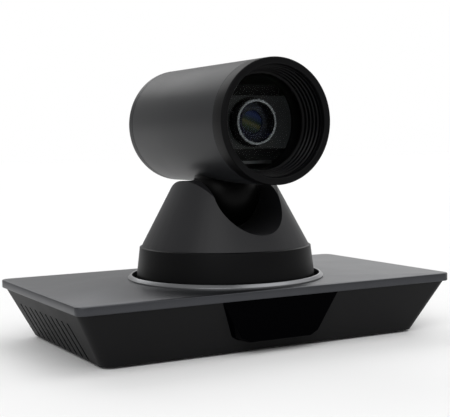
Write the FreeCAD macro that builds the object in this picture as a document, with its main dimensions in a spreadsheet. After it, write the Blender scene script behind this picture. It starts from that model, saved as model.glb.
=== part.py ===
import FreeCAD, Part
import math
import os
import re
import Sketcher
from FreeCAD import Placement, Rotation, Vector

# A pan and tilt conference camera. The frame is in millimetres: +Z up, the lens looks along -Y,
# +X to the right as seen from the front, and the origin is under the pan axis, on the desk.

doc = FreeCAD.newDocument("ptz_camera")
sheet = doc.addObject("Spreadsheet::Sheet", "Sizes")

SIZES = {
    # top plate and tapered base
    "plate_width": 254.0,
    "plate_depth": 140.0,
    "plate_thick": 4.94,
    "plate_corner": 5.87,
    "plate_edge": 0.5,
    "overhang": 1.6,
    "shell_height": 31.7,
    "side_slope": 17.6,
    "front_slope": 12.1,
    "back_slope": 2.5,
    "shell_corner": 7.7,
    "shell_wall": 2.4,
    "flange_thick": 4.0,
    "flange_width": 14.0,
    "cover_inset": 8.0,
    "cover_thick": 2.0,
    "fit_gap": 0.3,
    "foot_height": 1.5,
    "foot_radius": 7.0,
    "foot_inset": 20.0,
    "post_radius": 4.0,
    "post_inset": 10.5,
    "tripod_radius": 6.5,
    "tripod_bore": 2.6,
    "tripod_length": 8.0,
    "tripod_forward": 34.0,
    # side vents
    "vent_count": 10,
    "vent_pitch": 9.3,
    "vent_width": 2.4,
    "vent_height": 22.0,
    "vent_sill": 1.0,
    "vent_middle": 6.3,
    # infra-red window in the front wall
    "window_top": 39.6,
    "window_foot": 24.4,
    "window_sill": 6.4,
    "window_corner": 3.5,
    "window_lean": 4.6,
    "window_draft": 0.5,
    "window_depth": 15.0,
    "window_wall": 2.0,
    "window_gap": 0.1,
    # rear sockets
    "port_margin": 43.0,
    "port_half": "=plate_width / 2 - port_margin",
    "port_sill": 4.5,
    "port_head": 4.5,
    "port_recess": 5.5,
    "panel_thick": 1.5,
    "panel_lap": 3.0,
    "rim_wall": 1.6,
    "board_gap": 2.5,
    "board_thick": 1.6,
    "board_margin": 14.0,
    "board_depth": 36.0,
    "socket_row": 84.0,
    "socket_gap": 0.15,
    # fasteners
    "cover_screw_head": 2.8,
    "post_screw_head": 2.7,
    "collar_screw_head": 2.3,
    "cap_screw_head": 1.9,
    "screw_shank": 1.2,
    "screw_bore": 1.3,
    "cover_screw_way": 1.6,
    "pillar_radius": 3.5,
    "board_pillar": 3.0,
    # trim ring, collar and cone
    "ring_bore": 59.8,
    "ring_edge": 62.5,
    "ring_rise": 2.6,
    "ring_land": 1.0,
    "collar_foot": 57.2,
    "collar_top": 54.59,
    "collar_rise": 20.04,
    "collar_step": 1.2,
    "step_rise": 0.5,
    "cone_taper": 0.53,
    "casing_wall": 2.5,
    "saddle_radius": 22.65,
    "liner_wall": 1.8,
    "crown_radius": 37.07,
    "crown_drop": 27.1,
    "crown_back": -3.5,
    "crown_wall": 1.8,
    "tilt_rise": 52.16,
    # pan drive
    "turntable_drop": 2.0,
    "turntable_thick": 3.0,
    "ledge_width": 6.4,
    "ledge_thick": 2.0,
    "hub_height": 8.6,
    "hub_wall": 4.0,
    "gear_teeth": 72,
    "pinion_teeth": 15,
    "gear_module": 1.0,
    "gear_width": 5.0,
    "gear_bore": 14.0,
    "gear_play": 0.15,
    "chassis_gap": 3.5,
    "chassis_thick": 2.0,
    "chassis_left": 50.0,
    "chassis_right": 64.0,
    "chassis_front": 46.0,
    "chassis_back": 26.0,
    "spindle_radius": 10.0,
    "spindle_bore": 7.0,
    "spindle_flange": 13.0,
    "bearing_outer": 16.0,
    "bearing_width": 7.0,
    "bearing_race": 1.8,
    "ball_count": 14,
    "pan_motor_half": 17.5,
    "pan_motor_length": 8.0,
    "pan_shaft": 2.5,
    "running_gap": 0.05,
    "loom_gap": 2.9,
    "loom_share": 0.275,
    # tilt drive
    "arm_gap": 0.55,
    "arm_inner": "=saddle_radius + liner_wall + arm_gap",
    "arm_thick": 2.5,
    "arm_foot": 20.0,
    "arm_top": 7.4,
    "tilt_shaft_radius": 3.0,
    "tilt_bearing_outer": 6.0,
    "pulley_face": 2.8,
    "tilt_pulley": 4.6,
    "drive_pulley": 3.0,
    "belt_thick": 1.0,
    "tilt_motor_radius": 10.0,
    "tilt_motor_length": 34.0,
    "tilt_motor_drop": 36.7,
    "drive_shaft": 1.5,
    # neck
    "neck_gap": 0.65,
    "neck_radius": "=saddle_radius - neck_gap",
    "neck_step": 3.0,
    "neck_post": "=neck_radius - neck_step",
    "neck_wall": 2.2,
    "neck_rise": 8.06,
    "neck_bore": 12.0,
    # head
    "barrel_radius": 37.34,
    "barrel_half": 65.4,
    "barrel_wall": 2.2,
    "bezel_depth": 10.6,
    "bezel_bore": 33.0,
    "bezel_edge": 0.7,
    "cap_depth": 7.0,
    "cap_wall": 2.5,
    "cap_edge": 2.0,
    "spigot": 4.0,
    "baffle_depth": 18.0,
    "baffle_bore": 28.8,
    "baffle_wall": 1.2,
    "glass_radius": 30.5,
    "glass_thick": 1.6,
    "mask_depth": 30.5,
    "mask_radius": 29.0,
    "mask_chord": 16.2,
    "mask_bore": 15.2,
    "mask_thick": 1.0,
    # lens block
    "block_half": 21.0,
    "block_low": 23.4,
    "block_high": 23.0,
    "block_front": 33.2,
    "block_back": 34.0,
    "block_wall": 1.8,
    "snout_radius": 14.0,
    "snout_reach": 9.0,
    "snout_ring": 12.3,
    "lens_radius": 12.2,
    "rod_radius": 1.25,
    "rod_offset": 15.0,
    "rod_bore_gap": 0.05,
    "lens_bore": 9.5,
    "carriage_thick": 8.0,
    "zoom_rest": 9.0,
    "focus_rest": 12.0,
    "screw_radius": 1.2,
    "frame_thick": 2.0,
}
CELLS = {}
for row, (alias, number) in enumerate(SIZES.items(), start=1):
    CELLS[alias] = f"B{row}"
    sheet.set(f"A{row}", alias.replace("_", " "))
    sheet.set(CELLS[alias], str(number))
    sheet.setAlias(CELLS[alias], alias)
doc.recompute()


def bound(text):
    """The expression text with each size's name turned into a reference to the sheet."""
    return re.sub(r"[a-z][a-z_]+", lambda m: f"Sizes.{m.group()}" if m.group() in SIZES else m.group(),
                  str(text))


def number(text):
    """What an expression over the sheet comes to now, in millimetres."""
    value = sheet.evalExpression(bound(text))
    return float(getattr(value, "Value", value))


# Levels and places, each worked out from the sizes above.
BASE_LOW = "foot_height"
COVER_TOP = "(foot_height + cover_thick)"
SHELL_TOP = "(foot_height + shell_height)"
PLATE_TOP = "(foot_height + shell_height + plate_thick)"
SHELL_X = "(plate_width/2 - overhang)"
SHELL_Y = "(plate_depth/2 - overhang)"
FOOT_X = f"({SHELL_X} - side_slope)"
FOOT_FRONT = f"({SHELL_Y} - front_slope)"
FOOT_BACK = f"({SHELL_Y} - back_slope)"
BOARD_LOW = f"({COVER_TOP} + board_gap)"
BOARD_TOP = f"({BOARD_LOW} + board_thick)"
PANEL_Y = f"({FOOT_BACK} - port_recess)"
TURN_LOW = f"({PLATE_TOP} - turntable_drop)"
TURN_TOP = f"({TURN_LOW} + turntable_thick)"
LEDGE_TOP = f"({TURN_TOP} + ledge_thick)"
COLLAR_TOP = f"({PLATE_TOP} + collar_rise)"
CONE_LOW = f"({COLLAR_TOP} + step_rise)"
CONE_FOOT = "(collar_top - collar_step)"
TILT_Z = f"({PLATE_TOP} + tilt_rise)"
CROWN_Z = f"({TILT_Z} - crown_drop)"
CROWN_TOP = f"({CROWN_Z} + crown_radius)"
TURN_RADIUS = "(collar_foot - casing_wall - fit_gap)"
LEDGE_BORE = "(collar_foot - casing_wall - ledge_width)"
GEAR_TOP = f"({TURN_LOW} - hub_height)"
GEAR_LOW = f"({GEAR_TOP} - gear_width)"
CHASSIS_TOP = f"({GEAR_LOW} - chassis_gap)"
CHASSIS_LOW = f"({CHASSIS_TOP} - chassis_thick)"
PAN_BEARING_LOW = f"({TURN_LOW} - bearing_width - step_rise)"
PAN_BEARING_TOP = f"({PAN_BEARING_LOW} + bearing_width)"
PINION_X = "((gear_teeth + pinion_teeth)*gear_module/2 + gear_play)"
ARM_OUTER = "(arm_inner + arm_thick)"
PULLEY_IN = f"({ARM_OUTER} + 0.5)"
PULLEY_OUT = f"({PULLEY_IN} + pulley_face)"
DRIVE_Z = f"({TILT_Z} - tilt_motor_drop)"
BARREL_Z = f"({TILT_Z} + neck_rise + barrel_radius)"
SEAM_Y = "(bezel_depth - barrel_half)"
REAR_Y = "(barrel_half - cap_depth)"
BARREL_BORE = "(barrel_radius - barrel_wall)"
GLASS_Y = "(baffle_depth - barrel_half)"
MASK_Y = "(mask_depth - barrel_half)"
BLOCK_LOW = f"({BARREL_Z} - block_low)"


# Building blocks: each makes one object of the document with its sizes bound to the sheet.
def place(obj, x="0", y="0", z="0"):
    """Binds where an object stands."""
    for axis, size in zip("xyz", (x, y, z)):
        obj.setExpression(f"Placement.Base.{axis}", bound(size))
    return obj


def block(x, y, z):
    """A rectangular block between two limits on each axis."""
    obj = doc.addObject("Part::Box", "Block")
    for side, (low, high) in zip(("Length", "Width", "Height"), (x, y, z)):
        obj.setExpression(side, bound(f"({high}) - ({low})"))
    return place(obj, x[0], y[0], z[0])


TURNS = {"X": Rotation(Vector(0, 1, 0), 90), "Y": Rotation(Vector(1, 0, 0), -90), "Z": Rotation()}


def rod(axis, centre, span, radius):
    """A round bar along an axis, centred on the other two coordinates."""
    obj = doc.addObject("Part::Cylinder", "Rod")
    obj.setExpression("Radius", bound(radius))
    obj.setExpression("Height", bound(f"({span[1]}) - ({span[0]})"))
    obj.Placement = Placement(Vector(), TURNS[axis])
    spot = list(centre)
    spot.insert("XYZ".index(axis), span[0])
    return place(obj, *spot)


def tube(axis, centre, span, radius, bore):
    """A round bar with a bore right through it."""
    return cut(rod(axis, centre, span, radius), rod(axis, centre, span, bore))


def ball(x, y, z, radius):
    obj = doc.addObject("Part::Sphere", "Ball")
    obj.setExpression("Radius", bound(radius))
    return place(obj, x, y, z)


def fuse(*shapes):
    if len(shapes) == 1:
        return shapes[0]
    obj = doc.addObject("Part::MultiFuse", "Fuse")
    obj.Shapes = list(shapes)
    return obj


def cut(base, *tools):
    obj = doc.addObject("Part::Cut", "Cut")
    obj.Base = base
    obj.Tool = fuse(*tools)
    return obj


def common(*shapes):
    obj = doc.addObject("Part::MultiCommon", "Common")
    obj.Shapes = list(shapes)
    return obj


def group(*shapes):
    """Like pieces kept as separate solids under one name."""
    obj = doc.addObject("Part::Compound", "Group")
    obj.Links = list(shapes)
    return obj


def outline(body, role, points, level="0"):
    """A closed sketch on one of the body's own planes, each corner held by two bound sizes."""
    sketch = body.newObject("Sketcher::SketchObject", "Profile")
    plane = [feature for feature in body.Origin.OriginFeatures if feature.Role == role][0]
    sketch.AttachmentSupport = (plane, [""])
    sketch.MapMode = "FlatFace"
    sketch.setExpression("AttachmentOffset.Base.z", bound(level))
    spots = [Vector(number(u), number(v), 0) for u, v in points]
    for index, spot in enumerate(spots):
        sketch.addGeometry(Part.LineSegment(spot, spots[(index + 1) % len(spots)]), False)
    for index in range(len(spots)):
        sketch.addConstraint(Sketcher.Constraint("Coincident", index, 2, (index + 1) % len(spots), 1))
    for index, (u, v) in enumerate(points):
        for kind, size, value in (("DistanceX", u, spots[index].x), ("DistanceY", v, spots[index].y)):
            held = sketch.addConstraint(Sketcher.Constraint(kind, -1, 1, index, 1, value))
            sketch.setExpression(f"Constraints[{held}]", bound(size))
    return sketch


PLANES = {"X": ("XZ_Plane", "H_Axis"), "Y": ("YZ_Plane", "H_Axis"), "Z": ("XZ_Plane", "V_Axis")}


def turned(axis, points, z="0"):
    """A turned part. Points are (along, radius) for X and Y, and (radius, height) for Z."""
    body = doc.addObject("PartDesign::Body", "Body")
    role, spindle = PLANES[axis]
    sketch = outline(body, role, points)
    feature = body.newObject("PartDesign::Revolution", "Turning")
    feature.Profile = sketch
    feature.ReferenceAxis = (sketch, [spindle])
    feature.Angle = 360
    return place(body, z=z)


def ring(points_z):
    return turned("Z", points_z)


def plate(role, points, thick, x="0", y="0", z="0"):
    """A flat part cut to an outline and padded to its thickness."""
    body = doc.addObject("PartDesign::Body", "Body")
    sketch = outline(body, role, points)
    feature = body.newObject("PartDesign::Pad", "Pad")
    feature.Profile = sketch
    feature.setExpression("Length", bound(thick))
    return place(body, x, y, z)


def tapered(first, second, low, high, corner):
    """A tapering block between two levels, its slanting edges rounded.

    Each end is half width, front and back.
    """
    block_obj = doc.addObject("Part::Wedge", "Taper")
    block_obj.setExpression("Ymin", "0")
    block_obj.setExpression("Ymax", bound(f"({high}) - ({low})"))
    for mark, (half, front, back) in (("", first), ("2", second)):
        sizes = {f"X{mark}min": f"-({half})", f"X{mark}max": half,
                 f"Z{mark}min": f"-({back})", f"Z{mark}max": front}
        for side, size in sizes.items():
            block_obj.setExpression(side, bound(size))
    block_obj.Placement = Placement(Vector(), Rotation(Vector(1, 0, 0), 90))
    place(block_obj, z=low)
    doc.recompute()
    rounded = doc.addObject("Part::Fillet", "Rounded")
    rounded.Base = block_obj
    radius = number(corner)
    rounded.Edges = [(index, radius, radius) for index, edge in enumerate(block_obj.Shape.Edges, start=1)
                     if abs(run(edge).z) > 0.2]
    return rounded


def run(edge):
    """The direction from one end of a straight edge to the other."""
    ends = [vertex.Point for vertex in edge.Vertexes]
    step = ends[-1] - ends[0]
    return step.normalize() if step.Length > 1e-6 else step


def round_edges(body, feature, radius, wanted, kind="Fillet"):
    """Fillets or chamfers the edges of a feature that pass a test."""
    names = [f"Edge{index}" for index, edge in enumerate(feature.Shape.Edges, start=1) if wanted(edge)]
    if not names:
        raise RuntimeError(f"{body.Name}: no edge to round")
    finish = body.newObject(f"PartDesign::{kind}", kind)
    finish.Base = (feature, names)
    finish.setExpression("Radius" if kind == "Fillet" else "Size", bound(radius))
    body.Tip = finish
    return finish


def rectangle(half_x, front, back):
    return [(f"-({half_x})", f"-({front})"), (half_x, f"-({front})"), (half_x, back), (f"-({half_x})", back)]


def screws(spots, head_z, head_rise, shank_end, head_radius, shank_radius):
    """Pan-head machine screws that point up or down, each with a cross recess in its head."""
    made = []
    low, high = (head_z, f"{head_z} + {head_rise}")
    for x, y in spots:
        head = rod("Z", (x, y), (low, high), head_radius)
        down = number(shank_end) < number(head_z)
        span = (shank_end, low) if down else (high, shank_end)
        shank = rod("Z", (x, y), span, shank_radius)
        floor, mouth = (f"{high} - 0.6", f"{high} + 1") if down else (f"{low} - 1", f"{low} + 0.6")
        slots = [
            block((f"{x} - {a}", f"{x} + {a}"), (f"{y} - {b}", f"{y} + {b}"), (floor, mouth))
            for a, b in ((0.9, 0.25), (0.25, 0.9))
        ]
        made.append(cut(fuse(head, shank), *slots))
    return group(*made)


def spur_gear(teeth, module, width, bore, x, z):
    """An involute spur gear, 20 degrees, each flank an arc through three points of the involute."""
    pitch = teeth * module / 2
    base = pitch * math.cos(math.radians(20))
    root, tip = pitch - 1.2 * module, pitch + module
    start = max(base, root)

    def flank(radius):
        """Half the angle that the tooth takes at this radius."""
        angle = math.acos(min(1.0, base / radius))
        roll = math.tan(math.radians(20)) - math.radians(20)
        return math.pi / (2 * teeth) + roll - (math.tan(angle) - angle)

    def at(radius, angle):
        return Vector(radius * math.cos(angle), radius * math.sin(angle), 0)

    edges = []
    step = 2 * math.pi / teeth
    for tooth in range(teeth):
        middle = tooth * step
        mean = (start + tip) / 2
        feet = [at(start, middle + side * flank(start)) for side in (-1, 1)]
        tips = [at(tip, middle + side * flank(tip)) for side in (-1, 1)]
        means = [at(mean, middle + side * flank(mean)) for side in (-1, 1)]
        after = at(start, middle + step - flank(start))
        low = [at(root, middle + flank(start)), at(root, middle + step - flank(start))]
        edges.append(Part.Arc(feet[0], means[0], tips[0]).toShape())
        edges.append(Part.Arc(tips[0], at(tip, middle), tips[1]).toShape())
        edges.append(Part.Arc(tips[1], means[1], feet[1]).toShape())
        if start > root + 1e-6:
            edges.append(Part.LineSegment(feet[1], low[0]).toShape())
            edges.append(Part.Arc(low[0], at(root, middle + step / 2), low[1]).toShape())
            edges.append(Part.LineSegment(low[1], after).toShape())
        else:
            edges.append(Part.Arc(feet[1], at(root, middle + step / 2), after).toShape())
    solid = Part.Face(Part.Wire(Part.__sortEdges__(edges))).extrude(Vector(0, 0, width))
    obj = doc.addObject("Part::Feature", "Gear")
    obj.Shape = solid.cut(Part.makeCylinder(bore, width))
    obj.Placement = Placement(Vector(x, 0, z), Rotation())
    return obj


PARTS = []


def part(name, obj):
    """Names a finished sub-part, which is then written to its own file."""
    obj.Label = name
    PARTS.append(obj)
    return obj


# The tapered base: shell, cover, top plate and what carries them.
def base_shell():
    outer = tapered((FOOT_X, FOOT_FRONT, FOOT_BACK), (SHELL_X, SHELL_Y, SHELL_Y), BASE_LOW, SHELL_TOP,
                    "shell_corner")
    rise = f"({SHELL_TOP} - {BASE_LOW})"
    step = [f"({slope}*flange_thick/{rise})" for slope in ("side_slope", "front_slope", "back_slope")]
    low = [f"({size} + {grow} - shell_wall)" for size, grow in zip((FOOT_X, FOOT_FRONT, FOOT_BACK), step)]
    high = [f"({size} + {grow} - shell_wall)" for size, grow in zip((SHELL_X, SHELL_Y, SHELL_Y), step)]
    cavity = tapered(low, high, f"{BASE_LOW} + flange_thick", f"{SHELL_TOP} + flange_thick",
                     "shell_corner - shell_wall")
    pocket = cover_outline("0", "-1")
    way = block((f"-({FOOT_X} - flange_width)", f"{FOOT_X} - flange_width"),
                (f"-({FOOT_FRONT} - flange_width)", f"{FOOT_BACK} - flange_width"),
                (BASE_LOW, f"{BASE_LOW} + flange_thick + 1"))
    shell = cut(outer, cavity, pocket, way)
    window = window_wedge(number("window_gap"), 0)
    rim = block(("-(port_half + rim_wall)", "port_half + rim_wall"), (PANEL_Y, SHELL_Y),
                (f"{BASE_LOW} + port_sill - rim_wall", f"{SHELL_TOP} - port_head + rim_wall"))
    mouth = block(("-port_half", "port_half"), (f"{PANEL_Y} - 1", f"{SHELL_Y} + 1"),
                  (f"{BASE_LOW} + port_sill", f"{SHELL_TOP} - port_head"))
    posts = [rod("Z", spot, (f"{BASE_LOW} + flange_thick/2", SHELL_TOP), "post_radius")
             for spot in post_spots()]
    bores = []
    for spot in post_spots():
        bores.append(rod("Z", spot, (f"{BASE_LOW} + cover_thick", f"{SHELL_TOP} - 8"), "3.1"))
        bores.append(rod("Z", spot, (f"{BASE_LOW} + cover_thick", f"{SHELL_TOP} + 1"), "1.6"))
    threads = [rod("Z", spot, (BASE_LOW, f"{BASE_LOW} + flange_thick + 1"), "1.25")
               for spot in cover_screw_spots()]
    body = fuse(shell, common(outer, rim), *posts)
    return cut(body, window, mouth, *vents(), *bores, *threads)


def post_spots():
    x = f"({FOOT_X} - post_inset)"
    return [(f"{sign}{x}", y) for sign in ("", "-")
            for y in (f"-({FOOT_FRONT} - post_inset)", f"({FOOT_BACK} - post_inset)")]


def cover_screw_spots():
    x = f"({FOOT_X} - (cover_inset + flange_width)/2)"
    front = f"-({FOOT_FRONT} - (cover_inset + flange_width)/2)"
    back = f"({FOOT_BACK} - (cover_inset + flange_width)/2)"
    return [(f"{sign}{x}*{share}", y) for y in (front, back) for sign in ("", "-") for share in (0.8, 0.36)]


def cover_outline(gap, low_step):
    """The bottom cover's block, or the pocket it lies in when the gap is nothing."""
    return block((f"-({FOOT_X} - cover_inset - {gap})", f"{FOOT_X} - cover_inset - {gap}"),
                 (f"-({FOOT_FRONT} - cover_inset - {gap})", f"{FOOT_BACK} - cover_inset - {gap}"),
                 (f"{BASE_LOW} + ({low_step})", COVER_TOP))


def vents():
    made = []
    for index in range(int(number("vent_count"))):
        middle = f"(vent_middle + ({index} - (vent_count - 1)/2)*vent_pitch)"
        for inner, outer in ((f"{FOOT_X} - shell_wall - 1", f"{SHELL_X} + 1"),
                             (f"-({SHELL_X} + 1)", f"-({FOOT_X} - shell_wall - 1)")):
            made.append(block((inner, outer), (f"{middle} - vent_width/2", f"{middle} + vent_width/2"),
                              (f"{BASE_LOW} + vent_sill", f"{BASE_LOW} + vent_sill + vent_height")))
    return made


def window_wedge(extra, hollow):
    """The smoked window's wedge: a trapezium with drafted sides that leans less than the wall around it."""
    low = number("window_sill - shell_height") - extra + hollow
    high = -2 * hollow
    depth, draft, corner = number("window_depth"), number("window_draft"), number("window_corner")
    rings = []
    for y in (hollow, depth):
        grow = extra - hollow + draft * y
        wide, narrow = number("window_top") + grow, number("window_foot") + grow
        lean = (wide - narrow) / (high - low)
        right = [(narrow - corner, low), (narrow + lean * corner * 0.8, low + corner * 0.8), (wide, high)]
        left = [(-x, z) for x, z in reversed(right)]
        rings.append([Vector(x, y, z) for x, z in right + left])
    faces = [Part.Face(Part.makePolygon(corners + corners[:1])) for corners in rings]
    count = len(rings[0])
    for side in range(count):
        after = (side + 1) % count
        quad = [rings[0][side], rings[0][after], rings[1][after], rings[1][side], rings[0][side]]
        faces.append(Part.Face(Part.makePolygon(quad)))
    shell = Part.makeShell(faces)
    shell.sewShape()
    obj = doc.addObject("Part::Feature", "Wedge")
    obj.Shape = Part.makeSolid(shell)
    obj.Placement = Placement(Vector(), Rotation(Vector(1, 0, 0), number("window_lean")))
    return place(obj, y=f"-{SHELL_Y}", z=SHELL_TOP)


def ir_window():
    solid = cut(window_wedge(0, 0), window_wedge(0, number("window_wall")))
    trim = block((f"-{SHELL_X}", SHELL_X), (f"-{SHELL_Y} - 9", f"-{SHELL_Y} + 12"),
                 (f"{BASE_LOW} + window_sill - 3", f"{SHELL_TOP} - fit_gap"))
    return common(solid, trim)


def top_plate():
    half_x, half_y = "plate_width/2", "plate_depth/2"
    body = plate("XY_Plane", rectangle(half_x, half_y, half_y), "plate_thick", z=SHELL_TOP)
    pad = body.Tip
    doc.recompute()
    corners = round_edges(body, pad, "plate_corner", lambda edge: abs(run(edge).z) > 0.9)
    doc.recompute()
    thick = number("plate_thick")
    round_edges(body, corners, "plate_edge", lambda edge: all(v.Z > thick - 0.01 for v in edge.Vertexes),
                "Chamfer")
    hole = rod("Z", ("0", "0"), (f"{SHELL_TOP} - 1", f"{PLATE_TOP} + 1"), "ring_bore")
    taps = [rod("Z", spot, (f"{SHELL_TOP} - 1", f"{SHELL_TOP} + 3.2"), "1.25") for spot in post_spots()]
    return cut(body, hole, *taps)


def trim_ring():
    low, high = PLATE_TOP, f"{PLATE_TOP} + ring_rise"
    return ring([("ring_bore", low), ("ring_edge", low), ("ring_edge", f"{low} + 0.8"),
                 ("ring_bore + ring_land", high), ("ring_bore", high)])


def tripod_insert():
    y = "(-tripod_forward)"
    return cut(rod("Z", ("0", y), (BASE_LOW, f"{BASE_LOW} + tripod_length"), "tripod_radius"),
               rod("Z", ("0", y), (f"{BASE_LOW} - 1", f"{BASE_LOW} + tripod_length + 1"), "tripod_bore"))


def bottom_cover():
    sheet_metal = cover_outline("fit_gap", "0")
    through = (f"{BASE_LOW} - 1", f"{COVER_TOP} + 1")
    foot = f"{COVER_TOP} - cover_thick/4"
    holes = [rod("Z", spot, through, "cover_screw_way") for spot in cover_screw_spots()]
    seat = rod("Z", ("0", "(-tripod_forward)"), through, "tripod_radius")
    ways = [rod("Z", spot, through, "post_radius + fit_gap") for spot in post_spots()]
    pillars = [tube("Z", spot, (foot, CHASSIS_LOW), "pillar_radius", "screw_bore")
               for spot in standoff_spots()]
    pillars += [tube("Z", spot, (foot, BOARD_LOW), "board_pillar", "screw_shank") for spot in board_spots()]
    return fuse(cut(sheet_metal, seat, *holes, *ways), *pillars)


def foot_spots():
    x = f"({FOOT_X} - foot_inset)"
    return [(f"{sign}{x}", y) for sign in ("", "-")
            for y in (f"-({FOOT_FRONT} - foot_inset)", f"({FOOT_BACK} - foot_inset)")]


def base_parts():
    part("base_shell", base_shell())
    part("top_plate", top_plate())
    part("trim_ring", trim_ring())
    part("bottom_cover", bottom_cover())
    part("ir_window", ir_window())
    part("ir_receiver", ir_receiver())
    part("tripod_insert", tripod_insert())
    part("rubber_feet", group(*[rod("Z", spot, ("0", BASE_LOW), "foot_radius") for spot in foot_spots()]))
    cover_screws = screws(cover_screw_spots(), f"{BASE_LOW} - 1", "1", f"{COVER_TOP} + 2",
                          "cover_screw_head", "screw_shank")
    plate_screws = screws(post_spots(), f"{SHELL_TOP} - 10", "2", f"{SHELL_TOP} + 3",
                          "post_screw_head", "screw_shank")
    deck_screws = screws(standoff_spots(), CHASSIS_TOP, "1.8", f"{CHASSIS_LOW} - 4",
                         "cover_screw_head", "screw_shank")
    part("base_screws", group(cover_screws, plate_screws, deck_screws))


def ir_receiver():
    """The receiver board behind the window, its three detector domes facing out."""
    y = f"(-({FOOT_FRONT}) + 6)"
    top = f"({SHELL_TOP} - 4)"
    board = block(("-20", "20"), (y, f"{y} + 1.2"), (f"{COVER_TOP} + 3", top))
    domes = [rod("Y", (x, f"{COVER_TOP} + 14"), (f"{y} - 3", y), "2.5") for x in ("-12", "0", "12")]
    return fuse(board, *domes)


# Rear sockets. Each is a block on the main board whose face comes through the panel.
def along_row(x):
    """A place in the row of sockets, which closes up where the panel is narrower."""
    return f"({x}*port_half/socket_row)"


SOCKETS = {
    # name: centre along X, width, height, depth
    "power_socket": (along_row(66), "10", "11", "14"),
    "lan_socket": (along_row(28), "16", "13.5", "18"),
    "usb_socket": (along_row(4), "14", "7", "16"),
    "hdmi_socket": (along_row(-20), "16", "6.5", "14"),
}
AUDIO_X = (along_row(-40), along_row(-54))
BUTTON_X = along_row(48)
CHIP_X = f"(-({FOOT_X} + chassis_left)/2 + 5)"
SINK_HALF = "13"


def socket_block(name, gap="0"):
    x, wide, high, deep = SOCKETS[name]
    return block((f"{x} - {wide}/2 - {gap}", f"{x} + {wide}/2 + {gap}"),
                 (f"{PANEL_Y} - {deep}", f"{PANEL_Y} + 0.6"), (BOARD_TOP, f"{BOARD_TOP} + {high} + {gap}"))


def power_socket():
    x, z = SOCKETS["power_socket"][0], f"{BOARD_TOP} + 5.5"
    bore = rod("Y", (x, z), (f"{PANEL_Y} - 9", f"{PANEL_Y} + 1"), "3.2")
    pin = rod("Y", (x, z), (f"{PANEL_Y} - 10", f"{PANEL_Y} - 1"), "1.0")
    return fuse(cut(socket_block("power_socket"), bore), pin)


def lan_socket():
    x = SOCKETS["lan_socket"][0]
    low = f"{BOARD_TOP} + 1.6"
    cavity = block((f"{x} - 5.9", f"{x} + 5.9"), (f"{PANEL_Y} - 13", f"{PANEL_Y} + 1"),
                   (low, f"{low} + 8.2"))
    latch = block((f"{x} - 3.2", f"{x} + 3.2"), (f"{PANEL_Y} - 6", f"{PANEL_Y} + 1"),
                  (f"{low} + 8.2", f"{low} + 10.2"))
    return cut(socket_block("lan_socket"), cavity, latch)


def tongue_socket(name, inner_w, inner_h, tongue_h):
    """A shell socket with a contact tongue along its middle."""
    x, _, high, deep = SOCKETS[name]
    z = f"{BOARD_TOP} + {high}/2"
    half = f"{inner_w}/2"
    cavity = block((f"{x} - {half}", f"{x} + {half}"), (f"{PANEL_Y} - {deep} + 4", f"{PANEL_Y} + 1"),
                   (f"{z} - {inner_h}/2", f"{z} + {inner_h}/2"))
    tongue = block((f"{x} - {half} + 1", f"{x} + {half} - 1"), (f"{PANEL_Y} - {deep} + 3", PANEL_Y),
                   (f"{z} - {tongue_h}/2", f"{z} + {tongue_h}/2"))
    return fuse(cut(socket_block(name), cavity), tongue)


def audio_sockets():
    made = []
    for x in AUDIO_X:
        z = f"{BOARD_TOP} + 4.5"
        case = block((f"{x} - 4", f"{x} + 4"), (f"{PANEL_Y} - 13", f"{PANEL_Y} - panel_thick - 0.1"),
                     (BOARD_TOP, f"{BOARD_TOP} + 9"))
        nose = rod("Y", (x, z), (f"{PANEL_Y} - panel_thick - 1", f"{PANEL_Y} + 1"), "3.0")
        made.append(cut(fuse(case, nose), rod("Y", (x, z), (f"{PANEL_Y} - 12", f"{PANEL_Y} + 2"), "1.8")))
    return group(*made)


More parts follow.
